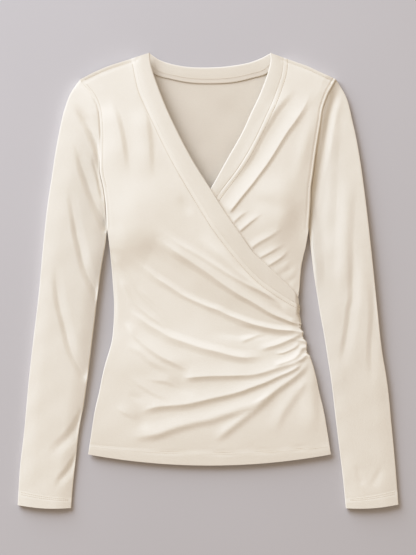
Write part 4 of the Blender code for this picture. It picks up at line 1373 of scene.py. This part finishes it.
def sleeve(name, node, side, rows):
    """A sleeve as a flattened tube from its armhole to its cuff, standing for its CAD node."""
    sign, column = (-1, 1) if side == "right" else (1, 2)
    stations = evenly(SLEEVE_STATIONS)
    outer = edge_line(rows, OUTER, stations)
    inner = edge_line(rows, INNER, stations)
    over = crowded(SLEEVE_COLUMNS, EDGE_CROWD / SLEEVE_WIDTH)
    seam = side_line(ARMHOLE, column, evenly(200)) - (sign * SLEEVE_LAP, 0)
    armhole = at_heights(seam, seam[0, 1] + (seam[-1, 1] - seam[0, 1]) * over)
    outer[0], inner[0] = armhole[0], armhole[-1]
    share = stations[:, None]
    curve = armhole - (armhole[0] + (armhole[-1] - armhole[0]) * over[:, None])
    line = outer[:, None] + (inner - outer)[:, None] * over[None, :, None]
    kept = ((1 - smooth_step(share / ARMHOLE_SHAPE_TO)) * (1 - share))[..., None]
    line += curve[None] * kept
    start, run = CUFF_BOW_FROM
    line[..., 1] -= CUFF_BOW * smooth_step((share - start) / run) * np.sin(np.pi * over)
    width = np.hypot(*(inner - outer).T)[:, None]
    middle = np.hypot(*np.diff((outer + inner) / 2, axis=0).T)
    passed = passed_at(middle)[:, None] + np.zeros_like(line[..., 0])
    x, y = line[..., 0], line[..., 1]
    top = sleeve_top(x, y, over[None], share, width, armhole, side, passed[-1, 0] - passed)
    # Each ring goes on round the inner fold, back along the board and up round the outer fold.
    inset = SLEEVE_ROLL / width
    turn, turn_back = ROLL_COLUMNS, ROLL_COLUMNS[::-1]
    under = np.linspace(1, 0, UNDERSIDE_COLUMNS)[None]
    back = np.concatenate(
        [1 - inset * turn**2, inset + (1 - 2 * inset) * under, inset * turn_back**2], 1
    )
    below = outer[:, None] + (inner - outer)[:, None] * back[..., None]
    bend = np.stack([np.interp(back, over, curve[:, k]) for k in (0, 1)], -1)
    below += bend * kept
    flat = np.zeros(UNDERSIDE_COLUMNS)
    low = np.concatenate([SLEEVE_EDGE * (1 - turn), flat, SLEEVE_EDGE * (1 - turn_back)])
    rings = np.concatenate(
        [np.dstack([line, top]), np.dstack([below, np.broadcast_to(low, back.shape)])], 1
    )
    rings = np.concatenate([rings, rings[:, :1]], 1)
    around = np.cumsum(np.linalg.norm(np.diff(rings, axis=1), axis=2), 1)
    around = np.concatenate([np.zeros((len(rings), 1)), around], 1)
    uv = np.dstack([around, np.broadcast_to(passed[:, :1], around.shape)])
    piece = grid_mesh(name, rings, uv)
    edit_all(piece, bpy.ops.mesh.remove_doubles, threshold=SAME_PLACE)
    edit_all(piece, bpy.ops.mesh.normals_make_consistent, inside=False)
    give_wall(piece, CLOTH, face_jersey)
    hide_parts(node)
    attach(piece, "root")
    lines = []
    for depth in CUFF_ROWS:
        station = np.interp(passed[-1, 0] - depth, passed[:, 0], np.arange(len(rings)))
        start, part = int(station), station % 1
        ring = rings[start] * (1 - part) + rings[start + 1] * part
        lines.append(ring[: len(over)][STITCHED])
    rows = stitches(name + "_stitching", lines)


sleeve("sleeve_of_right_arm", "sleeve_right", "right", SLEEVE_RIGHT)
sleeve("sleeve_of_left_arm", "sleeve_left", "left", SLEEVE_LEFT)
